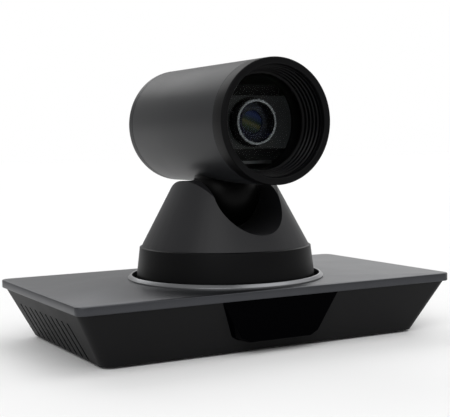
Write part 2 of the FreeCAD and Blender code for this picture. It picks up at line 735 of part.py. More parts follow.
def port_parts():
    z = f"{BOARD_TOP} + 5"
    stem = ("Y", (BUTTON_X, z))
    panel = block(("-(port_half + panel_lap)", "port_half + panel_lap"),
                  (f"{PANEL_Y} - panel_thick", PANEL_Y),
                  (f"{BASE_LOW} + port_sill - 0.5", f"{SHELL_TOP} - 1"))
    through = (f"{PANEL_Y} - 3", f"{PANEL_Y} + 1")
    cuts = [socket_block(name, "socket_gap") for name in SOCKETS]
    cuts += [rod("Y", (x, f"{BOARD_TOP} + 4.5"), through, "3.0 + socket_gap") for x in AUDIO_X]
    cuts.append(rod(*stem, through, "4.06"))
    part("port_panel", cut(panel, *cuts))
    part("power_socket", power_socket())
    part("lan_socket", lan_socket())
    part("data_sockets", group(tongue_socket("usb_socket", "12.4", "4.9", "1.8"),
                               tongue_socket("hdmi_socket", "13.6", "4.3", "1.4")))
    part("audio_sockets", audio_sockets())
    cap = rod(*stem, (f"{PANEL_Y} - 2.2", f"{PANEL_Y} + 1.4"), "4.0")
    collar = rod(*stem, (f"{PANEL_Y} - 3.6", f"{PANEL_Y} - 2.2"), "4.6")
    part("power_button", fuse(cap, collar, rod(*stem, (f"{PANEL_Y} - 6.4", f"{PANEL_Y} - 3.6"), "1.4")))
    case = block((f"{BUTTON_X} - 5", f"{BUTTON_X} + 5"), (f"{PANEL_Y} - 14", f"{PANEL_Y} - 5.2"),
                 (BOARD_TOP, f"{BOARD_TOP} + 10"))
    switch = cut(case, rod(*stem, (f"{PANEL_Y} - 8", f"{PANEL_Y} - 5"), "1.46"))
    back = f"({PANEL_Y} - panel_thick - 0.5)"
    half = f"({FOOT_X} - board_margin - 4)"
    strip = block((f"-{half}", half), (f"{back} - board_depth", back), (BOARD_LOW, BOARD_TOP))
    wing = block((f"-{half}", f"-chassis_left - 6"), (f"-({FOOT_FRONT} - 12)", f"{back} - board_depth"),
                 (BOARD_LOW, BOARD_TOP))
    processor = block((f"{CHIP_X} - 11", f"{CHIP_X} + 11"), ("-22", "0"), (BOARD_TOP, f"{BOARD_TOP} + 2"))
    pillar_ways = [rod("Z", spot, (COVER_TOP, CHASSIS_LOW), "4.2") for spot in standoff_spots()]
    part("main_board", cut(fuse(strip, wing, switch, processor), *pillar_ways))
    wide = (f"{CHIP_X} - {SINK_HALF}", f"{CHIP_X} + {SINK_HALF}")
    fins = [block(wide, (f"-24 + {4 * i}", f"-22.8 + {4 * i}"), (f"{BOARD_TOP} + 4", f"{BOARD_TOP} + 12"))
            for i in range(7)]
    sole = block(wide, ("-24", "2"), (f"{BOARD_TOP} + 2", f"{BOARD_TOP} + 4"))
    part("heat_sink", fuse(sole, *fins))


def board_spots():
    """The board's pillars, each clear of the shell's flange."""
    half = f"({FOOT_X} - board_margin - 8)"
    back = f"({FOOT_BACK} - flange_width - 4)"
    front = f"-({FOOT_FRONT} - flange_width - 4)"
    return [(half, back), (f"-{half}", back), (f"-{half}", front), (half, f"{back} - board_depth + 16")]


# Pan drive: a fixed chassis with a hollow spindle, and the turntable that runs on it.
def standoff_spots():
    return [(x, y) for x in ("-(chassis_left - 6)", "(chassis_right - 4)")
            for y in ("-(chassis_front - 8)", "(chassis_back - 5)")]


def pan_parts():
    through = (f"{CHASSIS_LOW} - 1", f"{CHASSIS_TOP} + 1")
    deck = cut(block(("-chassis_left", "chassis_right"), ("-chassis_front", "chassis_back"),
                     (CHASSIS_LOW, CHASSIS_TOP)),
               *[rod("Z", spot, through, "screw_bore") for spot in standoff_spots()])
    flange_top = f"({CHASSIS_TOP} + 2)"
    shoulder = PAN_BEARING_LOW
    post = fuse(rod("Z", ("0", "0"), (CHASSIS_TOP, flange_top), "spindle_flange"),
                rod("Z", ("0", "0"), (flange_top, shoulder), "spindle_radius + 1.4"),
                rod("Z", ("0", "0"), (shoulder, f"{TURN_TOP} + 2"), "spindle_radius"))
    bore = rod("Z", ("0", "0"), (f"{CHASSIS_LOW} - 1", f"{TURN_TOP} + 3"), "spindle_bore")
    pilot = rod("Z", (PINION_X, "0"), through, "11.1")
    part("pan_chassis", cut(fuse(deck, post), bore, pilot))
    middle = "((spindle_radius + bearing_outer)/2)"
    gap = "running_gap"
    span = (PAN_BEARING_LOW, PAN_BEARING_TOP)
    centre_z = f"({PAN_BEARING_LOW} + bearing_width/2)"
    ball_radius = f"(({middle}) - spindle_radius - bearing_race + 0.8)"
    inner = tube("Z", ("0", "0"), span, "spindle_radius + bearing_race", "spindle_radius")
    outer = tube("Z", ("0", "0"), span, "bearing_outer", "bearing_outer - bearing_race")
    part("pan_bearing_outer", cut(outer, race_groove(middle, centre_z, f"{ball_radius} + {gap}")))
    count = int(number("ball_count"))
    turns = [360 * i / count for i in range(count)]
    balls = [ball(f"{middle}*cos({turn})", f"{middle}*sin({turn})", centre_z, ball_radius) for turn in turns]
    groove = race_groove(middle, centre_z, f"{ball_radius} + {gap}")
    part("pan_bearing_inner", group(cut(inner, groove), *balls))
    part("spindle_nut", tube("Z", ("0", "0"), (f"{PAN_BEARING_TOP} + 0.2", f"{PAN_BEARING_TOP} + 3"), "12.4",
                             "spindle_radius"))
    disc = rod("Z", ("0", "0"), (TURN_LOW, TURN_TOP), TURN_RADIUS)
    hub = rod("Z", ("0", "0"), (GEAR_TOP, TURN_LOW), "bearing_outer + hub_wall")
    seat = rod("Z", ("0", "0"), (f"{GEAR_TOP} - 1", PAN_BEARING_TOP), "bearing_outer")
    lip = rod("Z", ("0", "0"), (GEAR_TOP, f"{TURN_TOP} + 1"), "bearing_outer - bearing_race")
    taps = [rod("Z", spot, (f"{TURN_LOW} + 0.5", f"{TURN_TOP} + 1"), "1.25") for spot in collar_screw_spots()]
    part("turntable", cut(fuse(disc, hub), seat, lip, *taps))
    part("pan_gear", spur_gear(int(number("gear_teeth")), number("gear_module"), number("gear_width"),
                               number("gear_bore"), 0, number(GEAR_LOW)))
    pinion = spur_gear(int(number("pinion_teeth")), number("gear_module"), number("gear_width") + 1,
                       number("pan_shaft"), number(PINION_X), number(GEAR_LOW) - 0.5)
    half = "pan_motor_half"
    low = f"({CHASSIS_LOW} - pan_motor_length)"
    can = block((f"{PINION_X} - {half}", f"{PINION_X} + {half}"), (f"-{half}", half), (low, CHASSIS_LOW))
    case = fuse(can, rod("Z", (PINION_X, "0"), (CHASSIS_LOW, CHASSIS_TOP), "11"))
    part("pan_motor", cut(case, rod("Z", (PINION_X, "0"), (f"{low} + 1.5", f"{CHASSIS_TOP} + 1"),
                                    f"pan_shaft + {gap}")))
    shaft = rod("Z", (PINION_X, "0"), (f"{low} + 2", f"{GEAR_TOP} + 1"), "pan_shaft")
    part("pan_pinion", fuse(pinion, shaft))
    riser = rod("Z", ("0", "0"), (f"{BOARD_LOW} + 1", f"{TURN_TOP} + 3"), "spindle_bore - 2.5")
    room = f"({CHASSIS_LOW} - {BOARD_TOP})"
    lead = rod("X", ("0", f"{BOARD_TOP} + {room}/2"), (f"{CHIP_X} + {SINK_HALF} + loom_gap", "0"),
               f"{room}*loom_share")
    part("pan_harness", fuse(riser, lead))


def race_groove(middle, z, radius):
    """The ring of space that a bearing's balls run in."""
    obj = doc.addObject("Part::Torus", "Groove")
    obj.setExpression("Radius1", bound(middle))
    obj.setExpression("Radius2", bound(radius))
    return place(obj, z=z)


# Pan casing: collar, cone with its two ears, and the tilt drive inside it.
def collar():
    return ring([("collar_foot", TURN_LOW), ("collar_top", COLLAR_TOP), (f"{CONE_FOOT}", CONE_LOW),
                 ("collar_top - casing_wall", CONE_LOW), (f"{TURN_RADIUS} + fit_gap", LEDGE_TOP),
                 (LEDGE_BORE, LEDGE_TOP), (LEDGE_BORE, TURN_TOP), (f"{TURN_RADIUS} + fit_gap", TURN_TOP),
                 (f"{TURN_RADIUS} + fit_gap", TURN_LOW)])


def cone_solid(inset):
    rise = f"({CROWN_TOP} - {CONE_LOW})"
    return ring([("0", CONE_LOW), (f"{CONE_FOOT} - {inset}", CONE_LOW),
                 (f"{CONE_FOOT} - cone_taper*{rise} - {inset}", CROWN_TOP), ("0", CROWN_TOP)])


def saddle(radius):
    """The channel between the ears: round below the tilt axis and open above it."""
    reach = "(collar_foot + 5)"
    return fuse(rod("Y", ("0", TILT_Z), (f"-{reach}", reach), radius),
                block((f"-({radius})", radius), (f"-{reach}", reach), (TILT_Z, f"{CROWN_TOP} + 5")))


def back_slope_solid():
    """The ears' back: a straight slope, tangent to the crown, down to where the saddle meets the cone."""
    reach = f"({CONE_FOOT} - cone_taper*({TILT_Z} - {CONE_LOW}))"
    heel = f"sqrt({reach}*{reach} - saddle_radius*saddle_radius)"
    away = f"({heel} - crown_back)"
    angle = f"(atan(crown_drop/{away}) + acos(crown_radius/sqrt({away}*{away} + crown_drop*crown_drop)))"
    touch = (f"crown_back + crown_radius*cos({angle})", f"{CROWN_Z} + crown_radius*sin({angle})")
    low = f"{TILT_Z} - crown_wall"
    return plate("YZ_Plane", [(touch[0], low), (heel, low), (heel, TILT_Z), touch], "2*collar_foot",
                 x="-collar_foot")


def cone_shell():
    reach = ("-collar_foot", "collar_foot")
    crown = rod("X", ("crown_back", CROWN_Z), reach, "crown_radius")
    under = rod("X", ("crown_back", CROWN_Z), reach, "crown_radius - crown_wall")
    skirt = rod("Z", ("0", "0"), (CONE_LOW, TILT_Z), "collar_foot")
    room = rod("Z", ("0", "0"), (CONE_LOW, f"{TILT_Z} - crown_wall"), "collar_foot")
    solid = common(cone_solid("0"), fuse(crown, back_slope_solid(), skirt))
    hollow = cut(common(cone_solid("casing_wall"), fuse(under, room)), saddle("saddle_radius + liner_wall"))
    shaft_way = rod("X", ("0", TILT_Z), ("-(arm_inner + 0.5)", "arm_inner + 0.5"), "tilt_shaft_radius + 0.8")
    return cut(solid, saddle("saddle_radius"), hollow, shaft_way)


def bracket_arm(side):
    foot = TURN_TOP
    low, high = (("arm_inner", ARM_OUTER) if side > 0 else (f"-{ARM_OUTER}", "-arm_inner"))
    points = [("-arm_foot", foot), ("arm_foot", foot), ("arm_foot", f"{foot} + 8"), ("arm_top", TILT_Z),
              ("-arm_top", TILT_Z), ("-arm_foot", f"{foot} + 8")]
    web = plate("YZ_Plane", points, "arm_thick", x=low)
    return fuse(web, rod("X", ("0", TILT_Z), (low, high), "arm_top"))


def tilt_parts():
    ways = [rod("Z", spot, (f"{TURN_TOP} - 1", f"{LEDGE_TOP} + 1"), "screw_bore")
            for spot in collar_screw_spots()]
    part("collar", cut(collar(), *ways))
    part("cone_shell", cone_shell())
    base = block((f"-{ARM_OUTER}", ARM_OUTER), ("-arm_foot", "arm_foot"),
                 (TURN_TOP, f"{TURN_TOP} + arm_thick"))
    eyes = rod("X", ("0", TILT_Z), (f"-{ARM_OUTER} - 1", f"{ARM_OUTER} + 1"), "tilt_bearing_outer")
    eye = rod("X", ("0", DRIVE_Z), ("arm_inner - 1", f"{ARM_OUTER} + 1"), "3.1")
    way = rod("Z", ("0", "0"), (f"{TURN_TOP} - 1", f"{TURN_TOP} + arm_thick + 1"), "bearing_outer - 1")
    half = "(tilt_motor_radius + 2)"
    cradle = cut(block(("arm_inner - 9", "arm_inner - 4"), (f"-{half}", half), (TURN_TOP, DRIVE_Z)),
                 rod("X", ("0", DRIVE_Z), ("arm_inner - 10", "arm_inner - 3"), "tilt_motor_radius"))
    part("tilt_bracket", cut(fuse(base, bracket_arm(1), bracket_arm(-1), cradle), eyes, eye, way))
    bushes = [tube("X", ("0", TILT_Z), span, "tilt_bearing_outer", "tilt_shaft_radius + running_gap")
              for span in (("arm_inner", ARM_OUTER), (f"-{ARM_OUTER}", "-arm_inner"))]
    part("tilt_bearings", group(*bushes))
    back = "(arm_inner - tilt_motor_length)"
    case = fuse(rod("X", ("0", DRIVE_Z), (back, "arm_inner"), "tilt_motor_radius"),
                rod("X", ("0", DRIVE_Z), ("arm_inner", ARM_OUTER), "3.0"))
    part("tilt_motor", cut(case, rod("X", ("0", DRIVE_Z), (f"{back} + 4", f"{ARM_OUTER} + 1"),
                                     "drive_shaft + running_gap")))
    part("tilt_drive_pulley", fuse(rod("X", ("0", DRIVE_Z), (f"{back} + 4.5", PULLEY_OUT), "drive_shaft"),
                                   rod("X", ("0", DRIVE_Z), (PULLEY_IN, PULLEY_OUT), "drive_pulley")))
    part("tilt_belt", cut(belt_loop("fit_gap + belt_thick", "0"), belt_loop("fit_gap", "1")))
    x = "(-(arm_inner + arm_thick + 8))"
    part("drive_board", fuse(block((x, f"{x} + 1.6"), ("-13", "13"), (TURN_TOP, f"{TURN_TOP} + 20")),
                             block((f"{x} - 2", x), ("-6", "6"), (f"{TURN_TOP} + 6", f"{TURN_TOP} + 16"))))
    part("collar_screws", screws(collar_screw_spots(), LEDGE_TOP, "1.6", f"{TURN_LOW} + 1",
                                 "collar_screw_head", "screw_shank"))


def collar_screw_spots():
    radius = f"({LEDGE_BORE} + ledge_width/2)"
    return [(f"{radius}*cos({angle})", f"{radius}*sin({angle})") for angle in (40, 140, 220, 320)]


def belt_loop(grow, extra):
    """A solid in the shape of the belt's outline, grown from the two pulleys."""
    span = (f"{PULLEY_IN} - {extra}", f"{PULLEY_OUT} + {extra}")
    top, low = f"(tilt_pulley + {grow})", f"(drive_pulley + {grow})"
    lean = "((tilt_pulley - drive_pulley)/tilt_motor_drop)"
    rise = f"sqrt(1 - {lean}*{lean})"
    points = [(f"-{top}*{rise}", f"{TILT_Z} + {top}*{lean}"), (f"-{low}*{rise}", f"{DRIVE_Z} + {low}*{lean}"),
              (f"{low}*{rise}", f"{DRIVE_Z} + {low}*{lean}"), (f"{top}*{rise}", f"{TILT_Z} + {top}*{lean}")]
    web = plate("YZ_Plane", points, f"({span[1]}) - ({span[0]})", x=span[0])
    return fuse(web, rod("X", ("0", TILT_Z), span, top), rod("X", ("0", DRIVE_Z), span, low))


# Head: neck, barrel, hood, glass and lens block. Its rest pose is level.
def neck_solid(inset, reach):
    radius, post = f"(neck_radius - {inset})", f"(neck_post - {inset})"
    return fuse(ball("0", "0", TILT_Z, radius),
                rod("Z", ("0", "0"), (TILT_Z, f"{TILT_Z} + neck_rise + {reach}"), post))


def neck_shells():
    seat = rod("Y", ("0", BARREL_Z), ("-barrel_half", "barrel_half"), "barrel_radius + 0.02")
    whole = cut(neck_solid("0", "8"), neck_solid("neck_wall", "12"), seat,
                rod("X", ("0", TILT_Z), ("-neck_radius - 1", "neck_radius + 1"),
                    "tilt_shaft_radius + running_gap"))
    wide, low = "(neck_radius + 2)", f"({TILT_Z} - neck_radius - 2)"
    front = block((f"-{wide}", wide), (f"-{wide}", "-0.05"), (low, f"{TILT_Z} + neck_rise + 20"))
    rear = block((f"-{wide}", wide), ("0.05", wide), (low, f"{TILT_Z} + neck_rise + 20"))
    part("neck_front_shell", common(whole, front))
    part("neck_rear_shell", common(whole, rear))


def head_parts():
    part("tilt_shaft", fuse(rod("X", ("0", TILT_Z), (f"-{ARM_OUTER}", PULLEY_OUT), "tilt_shaft_radius"),
                            rod("X", ("0", TILT_Z), (PULLEY_IN, PULLEY_OUT), "tilt_pulley")))
    neck_shells()
    frame_low = f"({BLOCK_LOW} - frame_thick)"
    barrel_way = rod("Z", ("0", "0"), (f"{TILT_Z} + 4", f"{BARREL_Z} - 10"), "neck_bore")
    stem = block(("-9", "9"), ("-5", "5"), (f"{TILT_Z} - 5", BLOCK_LOW))
    bed = block(("-20", "20"), ("-26", "30"), (frame_low, BLOCK_LOW))
    part("head_frame", cut(fuse(stem, bed), rod("X", ("0", TILT_Z), ("-10", "10"), "tilt_shaft_radius")))
    tube_body = turned("Y", [(SEAM_Y, BARREL_BORE), (SEAM_Y, "barrel_radius"), (REAR_Y, "barrel_radius"),
                             (REAR_Y, BARREL_BORE)], z=BARREL_Z)
    part("barrel", cut(tube_body, barrel_way))
    part("front_bezel", turned("Y", [
        (f"{SEAM_Y} + spigot", "bezel_bore"), ("bezel_edge - barrel_half", "bezel_bore"),
        ("-barrel_half", "bezel_bore + bezel_edge"), ("-barrel_half", "barrel_radius - bezel_edge"),
        ("bezel_edge - barrel_half", "barrel_radius"), (SEAM_Y, "barrel_radius"),
        (SEAM_Y, f"{BARREL_BORE} - running_gap"),
        (f"{SEAM_Y} + spigot", f"{BARREL_BORE} - running_gap")], z=BARREL_Z))
    part("rear_cap", turned("Y", [
        (REAR_Y, "barrel_radius"), ("barrel_half - cap_edge", "barrel_radius"),
        ("barrel_half - 0.6", "barrel_radius - 0.6"), ("barrel_half", "barrel_radius - cap_edge"),
        ("barrel_half", "0"), ("barrel_half - cap_wall", "0"),
        ("barrel_half - cap_wall", f"{BARREL_BORE} - cap_wall"),
        (f"{REAR_Y} - spigot", f"{BARREL_BORE} - cap_wall"),
        (f"{REAR_Y} - spigot", f"{BARREL_BORE} - running_gap"),
        (REAR_Y, f"{BARREL_BORE} - running_gap")], z=BARREL_Z))
    part("hood_baffle", hood_baffle())
    part("front_glass", turned("Y", [(GLASS_Y, "0"), (GLASS_Y, "glass_radius"),
                                     (f"{GLASS_Y} + glass_thick", "glass_radius"),
                                     (f"{GLASS_Y} + glass_thick", "0")], z=BARREL_Z))
    part("glass_ring", glass_ring())
    disc = rod("Y", ("0", BARREL_Z), (MASK_Y, f"{MASK_Y} + mask_thick"), "mask_radius")
    window = block(("-mask_radius", "mask_radius"), (f"{MASK_Y} - 1", f"{MASK_Y} + 2"),
                   (f"{BARREL_Z} - mask_chord", f"{BARREL_Z} + mask_chord"))
    hole = rod("Y", ("0", BARREL_Z), (f"{MASK_Y} - 2", f"{MASK_Y} + 3"), "mask_bore")
    part("lens_mask", cut(common(disc, window), hole))
    lens_block_parts()
    part("cap_screws", rear_screws())


def glass_ring():
    """Carries the glass at its front and the mask at its back."""
    front, back, step = f"({GLASS_Y} + glass_thick)", f"({MASK_Y} + mask_thick)", f"({MASK_Y} - 2)"
    seat, pocket, outer = "glass_radius - 1.5", "mask_radius + 0.3", "bezel_bore - 0.1"
    return turned("Y", [(front, seat), (front, outer), (back, outer), (back, pocket), (step, pocket),
                        (step, seat)], z=BARREL_Z)


def hood_baffle():
    """A stepped funnel from the bezel's mouth down to the glass."""
    deep = GLASS_Y
    front = "(3 - barrel_half)"
    steps = 5
    outer = "(bezel_bore - 0.1)"
    points = [(front, outer)]
    for index in range(steps):
        share = f"({index}/{steps})"
        later = f"({index + 1}/{steps})"
        radius = f"({outer} - baffle_wall/2 - ({outer} - baffle_wall - baffle_bore)*{share})"
        level = f"({front} + ({deep} - {front})*{later})"
        start = f"({front} + ({deep} - {front})*{share})"
        points.append((start, radius))
        points.append((f"{level} - 0.6", f"{radius} + 0.15"))
    points.append((deep, "baffle_bore"))
    points.append((deep, outer))
    return turned("Y", points, z=BARREL_Z)


def rear_screws():
    """Small screws through the rear cap into the barrel's inner ring."""
    made = []
    for angle in (45, 135, 225, 315):
        radius = f"({BARREL_BORE} - 7)"
        x, z = f"{radius}*cos({angle})", f"{BARREL_Z} + {radius}*sin({angle})"
        head = rod("Y", (x, z), ("barrel_half", "barrel_half + 0.9"), "cap_screw_head")
        made.append(cut(head, block((f"{x} - 1.2", f"{x} + 1.2"), ("barrel_half + 0.4", "barrel_half + 2"),
                                    (f"{z} - 0.25", f"{z} + 0.25"))))
    return group(*made)


def lens_block_parts():
    axis = BARREL_Z
    low, high = BLOCK_LOW, f"{axis} + block_high"
    case = block(("-block_half", "block_half"), ("-block_front", "block_back"), (low, high))
    room = block(("-(block_half - block_wall)", "block_half - block_wall"),
                 ("-(block_front - block_wall)", "block_back - block_wall"),
                 (f"{low} + block_wall", f"{high} - block_wall"))
    eye = rod("Y", ("0", axis), ("-block_front - 1", "-block_front + 4"), "lens_radius + 0.6")
    part("lens_housing", cut(case, room, eye))
    front = "(-block_front - snout_reach)"
    snout = turned("Y", [(front, "snout_ring"), (front, "snout_radius - 0.4"),
                         (f"{front} + 0.4", "snout_radius"), ("-block_front", "snout_radius"),
                         ("-block_front", "lens_radius + 0.6"), (f"{front} + 3", "lens_radius + 0.6"),
                         (f"{front} + 1.2", "snout_ring")], z=axis)
    cell = tube("Y", ("0", axis), (f"{front} + 6", f"{front} + 9"), "lens_radius + 0.7", "lens_radius - 2.2")
    part("lens_snout", fuse(snout, cell))
    part("front_lenses", group(lens(f"({front} + 1.6)", "lens_radius", "3.4", "1.6"),
                               lens(f"({front} + 6.2)", "lens_radius - 2.2", "2.2", "1.0")))
    spots = (("rod_offset", f"{axis} + rod_offset"), ("-rod_offset", f"{axis} - rod_offset"))
    part("guide_rods", group(*[rod("Y", (x, z), ("-(block_front - block_wall)", "block_back - block_wall"),
                                   "rod_radius") for x, z in spots]))
    for name, lens_name, rest in (("zoom_carriage", "zoom_lens", "(-zoom_rest)"),
                                  ("focus_carriage", "focus_lens", "(focus_rest)")):
        half = "carriage_thick/2"
        span = (f"{rest} - {half}", f"{rest} + {half}")
        through = (f"{rest} - 9", f"{rest} + 9")
        frame = fuse(rod("Y", ("0", axis), span, "lens_bore + 2.5"),
                     block(("-(rod_offset + 3)", "rod_offset + 3"), span, (f"{axis} - 3", f"{axis} + 3")),
                     block(("rod_offset - 3", "rod_offset + 3"), span,
                           (f"{axis} - 3", f"{axis} + rod_offset + 3")),
                     block(("-(rod_offset + 3)", "-(rod_offset - 3)"), span,
                           (f"{axis} - rod_offset - 3", f"{axis} + 3")))
        ways = [rod("Y", spot, through, "rod_radius + rod_bore_gap") for spot in spots]
        notch = rod("Y", screw_spot(name), through, "screw_radius + 0.3")
        part(name, cut(frame, rod("Y", ("0", axis), through, "lens_bore"), notch, *ways))
        part(lens_name, lens(f"({rest} - 2.5)", "lens_bore", "4.4", "1.2"))
    drives = []
    for name in ("zoom_carriage", "focus_carriage"):
        x, z = screw_spot(name)
        drives.append(rod("Y", (x, z), ("-(block_front - 12)", "block_back - 8.6"), "screw_radius"))
        drives.append(rod("Y", (x, z), ("block_back - 8.6", "block_back - block_wall"), "3.4"))
    part("lens_motors", group(fuse(*drives[:2]), fuse(*drives[2:])))
    part("filter_slide", cut(block(("-9", "9"), ("24", "25.2"), (f"{axis} - 8", f"{axis} + 8")),
                             rod("Y", ("4.2", axis), ("23", "26"), "3.6")))
    sensor = block(("-4", "4"), ("27", "29"), (f"{axis} - 3.2", f"{axis} + 3.2"))
    part("sensor_board", fuse(sensor, block(("-11", "11"), ("29", "30.4"), (f"{axis} - 9", f"{axis} + 9"))))
    part("camera_board", block(("-19", "19"), ("block_back + 4", "block_back + 5.6"),
                               (f"{low} + 2", f"{high} - 2")))


def screw_spot(name):
    side = "-" if name == "zoom_carriage" else ""
    lift = "+" if name == "zoom_carriage" else "-"
    return f"{side}(rod_offset + 0.6)", f"{BARREL_Z} {lift} 11"


def lens(start, radius, thick, sag):
    """A round lens: flat at the back, its front face a shallow dome."""
    radius_value = f"(({radius})*({radius}) + {sag}*{sag})/(2*{sag})"
    edge = f"({start} + {sag})"
    body = rod("Y", ("0", BARREL_Z), (start, f"{start} + {thick}"), radius)
    dome = ball("0", f"{start} + {radius_value}", BARREL_Z, radius_value)
    rest = rod("Y", ("0", BARREL_Z), (edge, f"{start} + {thick} + 1"), radius)
    return common(body, fuse(dome, rest))


base_parts()
port_parts()
pan_parts()
tilt_parts()
head_parts()
doc.recompute()

for obj in doc.Objects:
    if "Invalid" in obj.State or "Error" in obj.State:
        raise RuntimeError(f"{obj.Name} ({obj.Label}) did not build: {obj.State}")
for obj in PARTS:
    if obj.Shape.isNull() or not obj.Shape.isValid() or not obj.Shape.Solids:
        raise RuntimeError(f"{obj.Label} has no valid solid")
    if obj.Shape.Volume < 0.5:
        raise RuntimeError(f"{obj.Label} is empty")

os.makedirs("parts", exist_ok=True)
for obj in PARTS:
    obj.Shape.exportStep(os.path.join("parts", f"{obj.Label}.step"))
print(len(PARTS), "sub-parts")
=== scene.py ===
import math

import bmesh
import bpy
from mathutils import Matrix, Vector


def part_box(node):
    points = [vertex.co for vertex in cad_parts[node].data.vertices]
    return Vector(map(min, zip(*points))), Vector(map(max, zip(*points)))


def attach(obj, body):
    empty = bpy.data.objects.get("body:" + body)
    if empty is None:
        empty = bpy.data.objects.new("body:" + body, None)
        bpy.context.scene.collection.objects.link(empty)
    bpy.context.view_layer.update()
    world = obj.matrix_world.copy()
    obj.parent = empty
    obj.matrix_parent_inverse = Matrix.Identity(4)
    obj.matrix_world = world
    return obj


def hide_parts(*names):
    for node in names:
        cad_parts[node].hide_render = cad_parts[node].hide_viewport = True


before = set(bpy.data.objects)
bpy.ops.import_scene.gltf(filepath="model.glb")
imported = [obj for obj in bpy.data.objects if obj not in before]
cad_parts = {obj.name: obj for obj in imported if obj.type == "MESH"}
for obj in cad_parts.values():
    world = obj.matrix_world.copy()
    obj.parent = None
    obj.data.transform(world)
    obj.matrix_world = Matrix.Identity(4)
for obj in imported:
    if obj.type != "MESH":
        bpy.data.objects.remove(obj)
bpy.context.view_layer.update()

bl_info = {
    "name": "Pan and tilt conference camera",
    "version": (1, 0, 0),
    "blender": (4, 5, 0),
    "location": "View3D > Sidebar > PTZ camera",
    "description": "Dresses the packed camera in finished meshes, materials, light and a view",
    "category": "Object",
}

MM = 0.001
SEGMENTS = 192
FIT_GAP = 0.05 * MM  # between a spigot and the bore it sits in
SAME_PLACE = 1e-7  # metres; points nearer than this are one point
WELD_GAP = 1e-6  # metres; CAD corners nearer than this are one corner
CORNER_SHARE = 0.49  # the most of an edge that an arc at its end takes up

FOOT_RADIUS, FOOT_DISH = 7.0 * MM, 0.25 * MM
RING_RIM = 0.8 * MM  # height of the trim ring's outer rim
LEDGE_DEPTH, LEDGE_THICK = 17.54 * MM, 2.0 * MM  # the flange inside the collar, from its top
NECK_WAY, NECK_WAY_LOW = 12 * MM, 0.1  # the hole in the barrel for the neck: radius, lowest height in metres
HOOD_RISER, HOOD_EDGE = 0.45 * MM, 0.12 * MM  # the hood's steps: slope length, edge radius
MASK_ARC_STEPS = 24
RING_BAND = 0.45 * MM  # how much of the lens tube's front is polished
LENS_SAG, LENS_THICK = 1.6 * MM, 3.4 * MM  # the front element
CELL_DEPTH, CELL_THICK = 5.6 * MM, 2.2 * MM  # the cell behind it, from the tube's front
DEEP_SAG, DEEP_START, DEEP_END = 1.0 * MM, 0.8 * MM, 2.6 * MM  # the element in that cell, from its front
SCREW_RADIUS, SLOT_DEPTH, SLOT_HALF, SLOT_THIN = 1.9 * MM, 0.5 * MM, 1.2 * MM, 0.25 * MM

FLOOR_HALF, FLOOR_CELLS = 6.0, 8  # metres from the middle to a side; squares along a side
ROOM_LIGHT, BACKDROP = 0.52, 1.0  # the studio's own light, and what is seen behind the floor
SENSOR_WIDTH, SHIFT_X, SHIFT_Y = 36.0, -0.0056, 0.0047  # the sensor in mm; shifts as shares of its width


def linear(code):
    """An sRGB hex colour as the linear values that shaders take."""
    channels = [int(code[start:start + 2], 16) / 255 for start in (1, 3, 5)]
    return [c / 12.92 if c <= 0.04045 else ((c + 0.055) / 1.055) ** 2.4 for c in channels]


def length(name, description, millimetres):
    """A length property, shown in the scene's unit."""
    return bpy.props.FloatProperty(name=name, description=description, default=millimetres * MM, min=0.0,
                                   unit="LENGTH", precision=5)


def colour(name, description, code):
    """A colour property whose default is an sRGB hex value."""
    return bpy.props.FloatVectorProperty(name=name, description=description, subtype="COLOR", size=3, min=0.0,
                                         max=1.0, default=linear(code))


class CameraSizes(bpy.types.PropertyGroup):
    """Edge radii and bores that the frame's boxes don't give."""
    edge: length("Edge", "Radius of a broken edge on a moulding", 0.3)
    plate_corner: length("Plate corner", "Corner radius of the top plate in plan", 5.87)
    plate_edge: length("Plate edge", "Radius along the top plate's upper edge", 0.6)
    ring_bore: length("Ring bore", "Bore of the trim ring and of the hole under it", 59.8)
    ring_land: length("Ring land", "Flat width at the top of the trim ring", 1.0)
    collar_wall: length("Collar wall", "Wall of the collar", 2.5)
    collar_top: length("Collar top", "Radius of the collar at its upper edge", 54.59)
    collar_ledge: length("Collar ledge", "Width of the flange inside the collar", 6.4)
    bezel_bore: length("Bezel bore", "Bore of the front bezel", 33.0)
    bezel_lip: length("Bezel lip", "Radius on the bezel's front edges", 0.9)
    barrel_wall: length("Barrel wall", "Wall of the barrel tube", 2.2)
    spigot: length("Spigot", "How far the bezel and the cap reach into the barrel", 4.0)
    cap_edge: length("Cap edge", "Radius round the rear cap", 2.0)
    cap_wall: length("Cap wall", "Wall of the rear cap", 2.5)
    baffle_bore: length("Baffle bore", "Radius of the hood at its narrow end", 28.8)
    baffle_steps: bpy.props.IntProperty(name="Baffle steps", description="Light-trap steps inside the hood",
                                        default=5, min=2, max=12)
    mask_bore: length("Mask bore", "Radius of the hole in the lens mask", 15.2)
    mask_chord: length("Mask chord", "Height of the flats above and below the lens axis", 16.2)
    snout_ring: length("Lens ring", "Inner radius of the lens tube's front ring", 12.3)
    cell_bore: length("Cell bore", "Inner radius of the cell behind the front element", 7.2)


class CameraColours(bpy.types.PropertyGroup):
    """Colours of the outside finishes; the bezel's and the neck's are darkened as painted shade."""
    plate: colour("Plate", "Anodised top plate", "#454649")
    shell: colour("Shell", "Moulded base", "#111112")
    window: colour("Window", "Smoked infra-red window", "#010102")
    ring: colour("Ring", "Turned trim ring", "#7c7d7f")
    collar: colour("Collar", "Moulded collar", "#0a0a0b")
    casing: colour("Casing", "Lacquered cone", "#1d1d1f")
    barrel: colour("Barrel", "Powder-coated barrel", "#1d1e20")
    # Near black: a dark moulding, darkened further as painted shade for the slot round the neck.
    neck: colour("Neck", "Moulded neck", "#020202")
    # Far darker than the barrel's coat that it matches: painted shade on the bezel's front face.
    bezel: colour("Bezel", "Moulded front bezel", "#070708")
    hood: colour("Hood", "Matt black hood", "#020203")
    mask: colour("Mask", "Lens mask", "#2a2b2d")
    floor: colour("Floor", "Pale floor", "#f2f2f2")


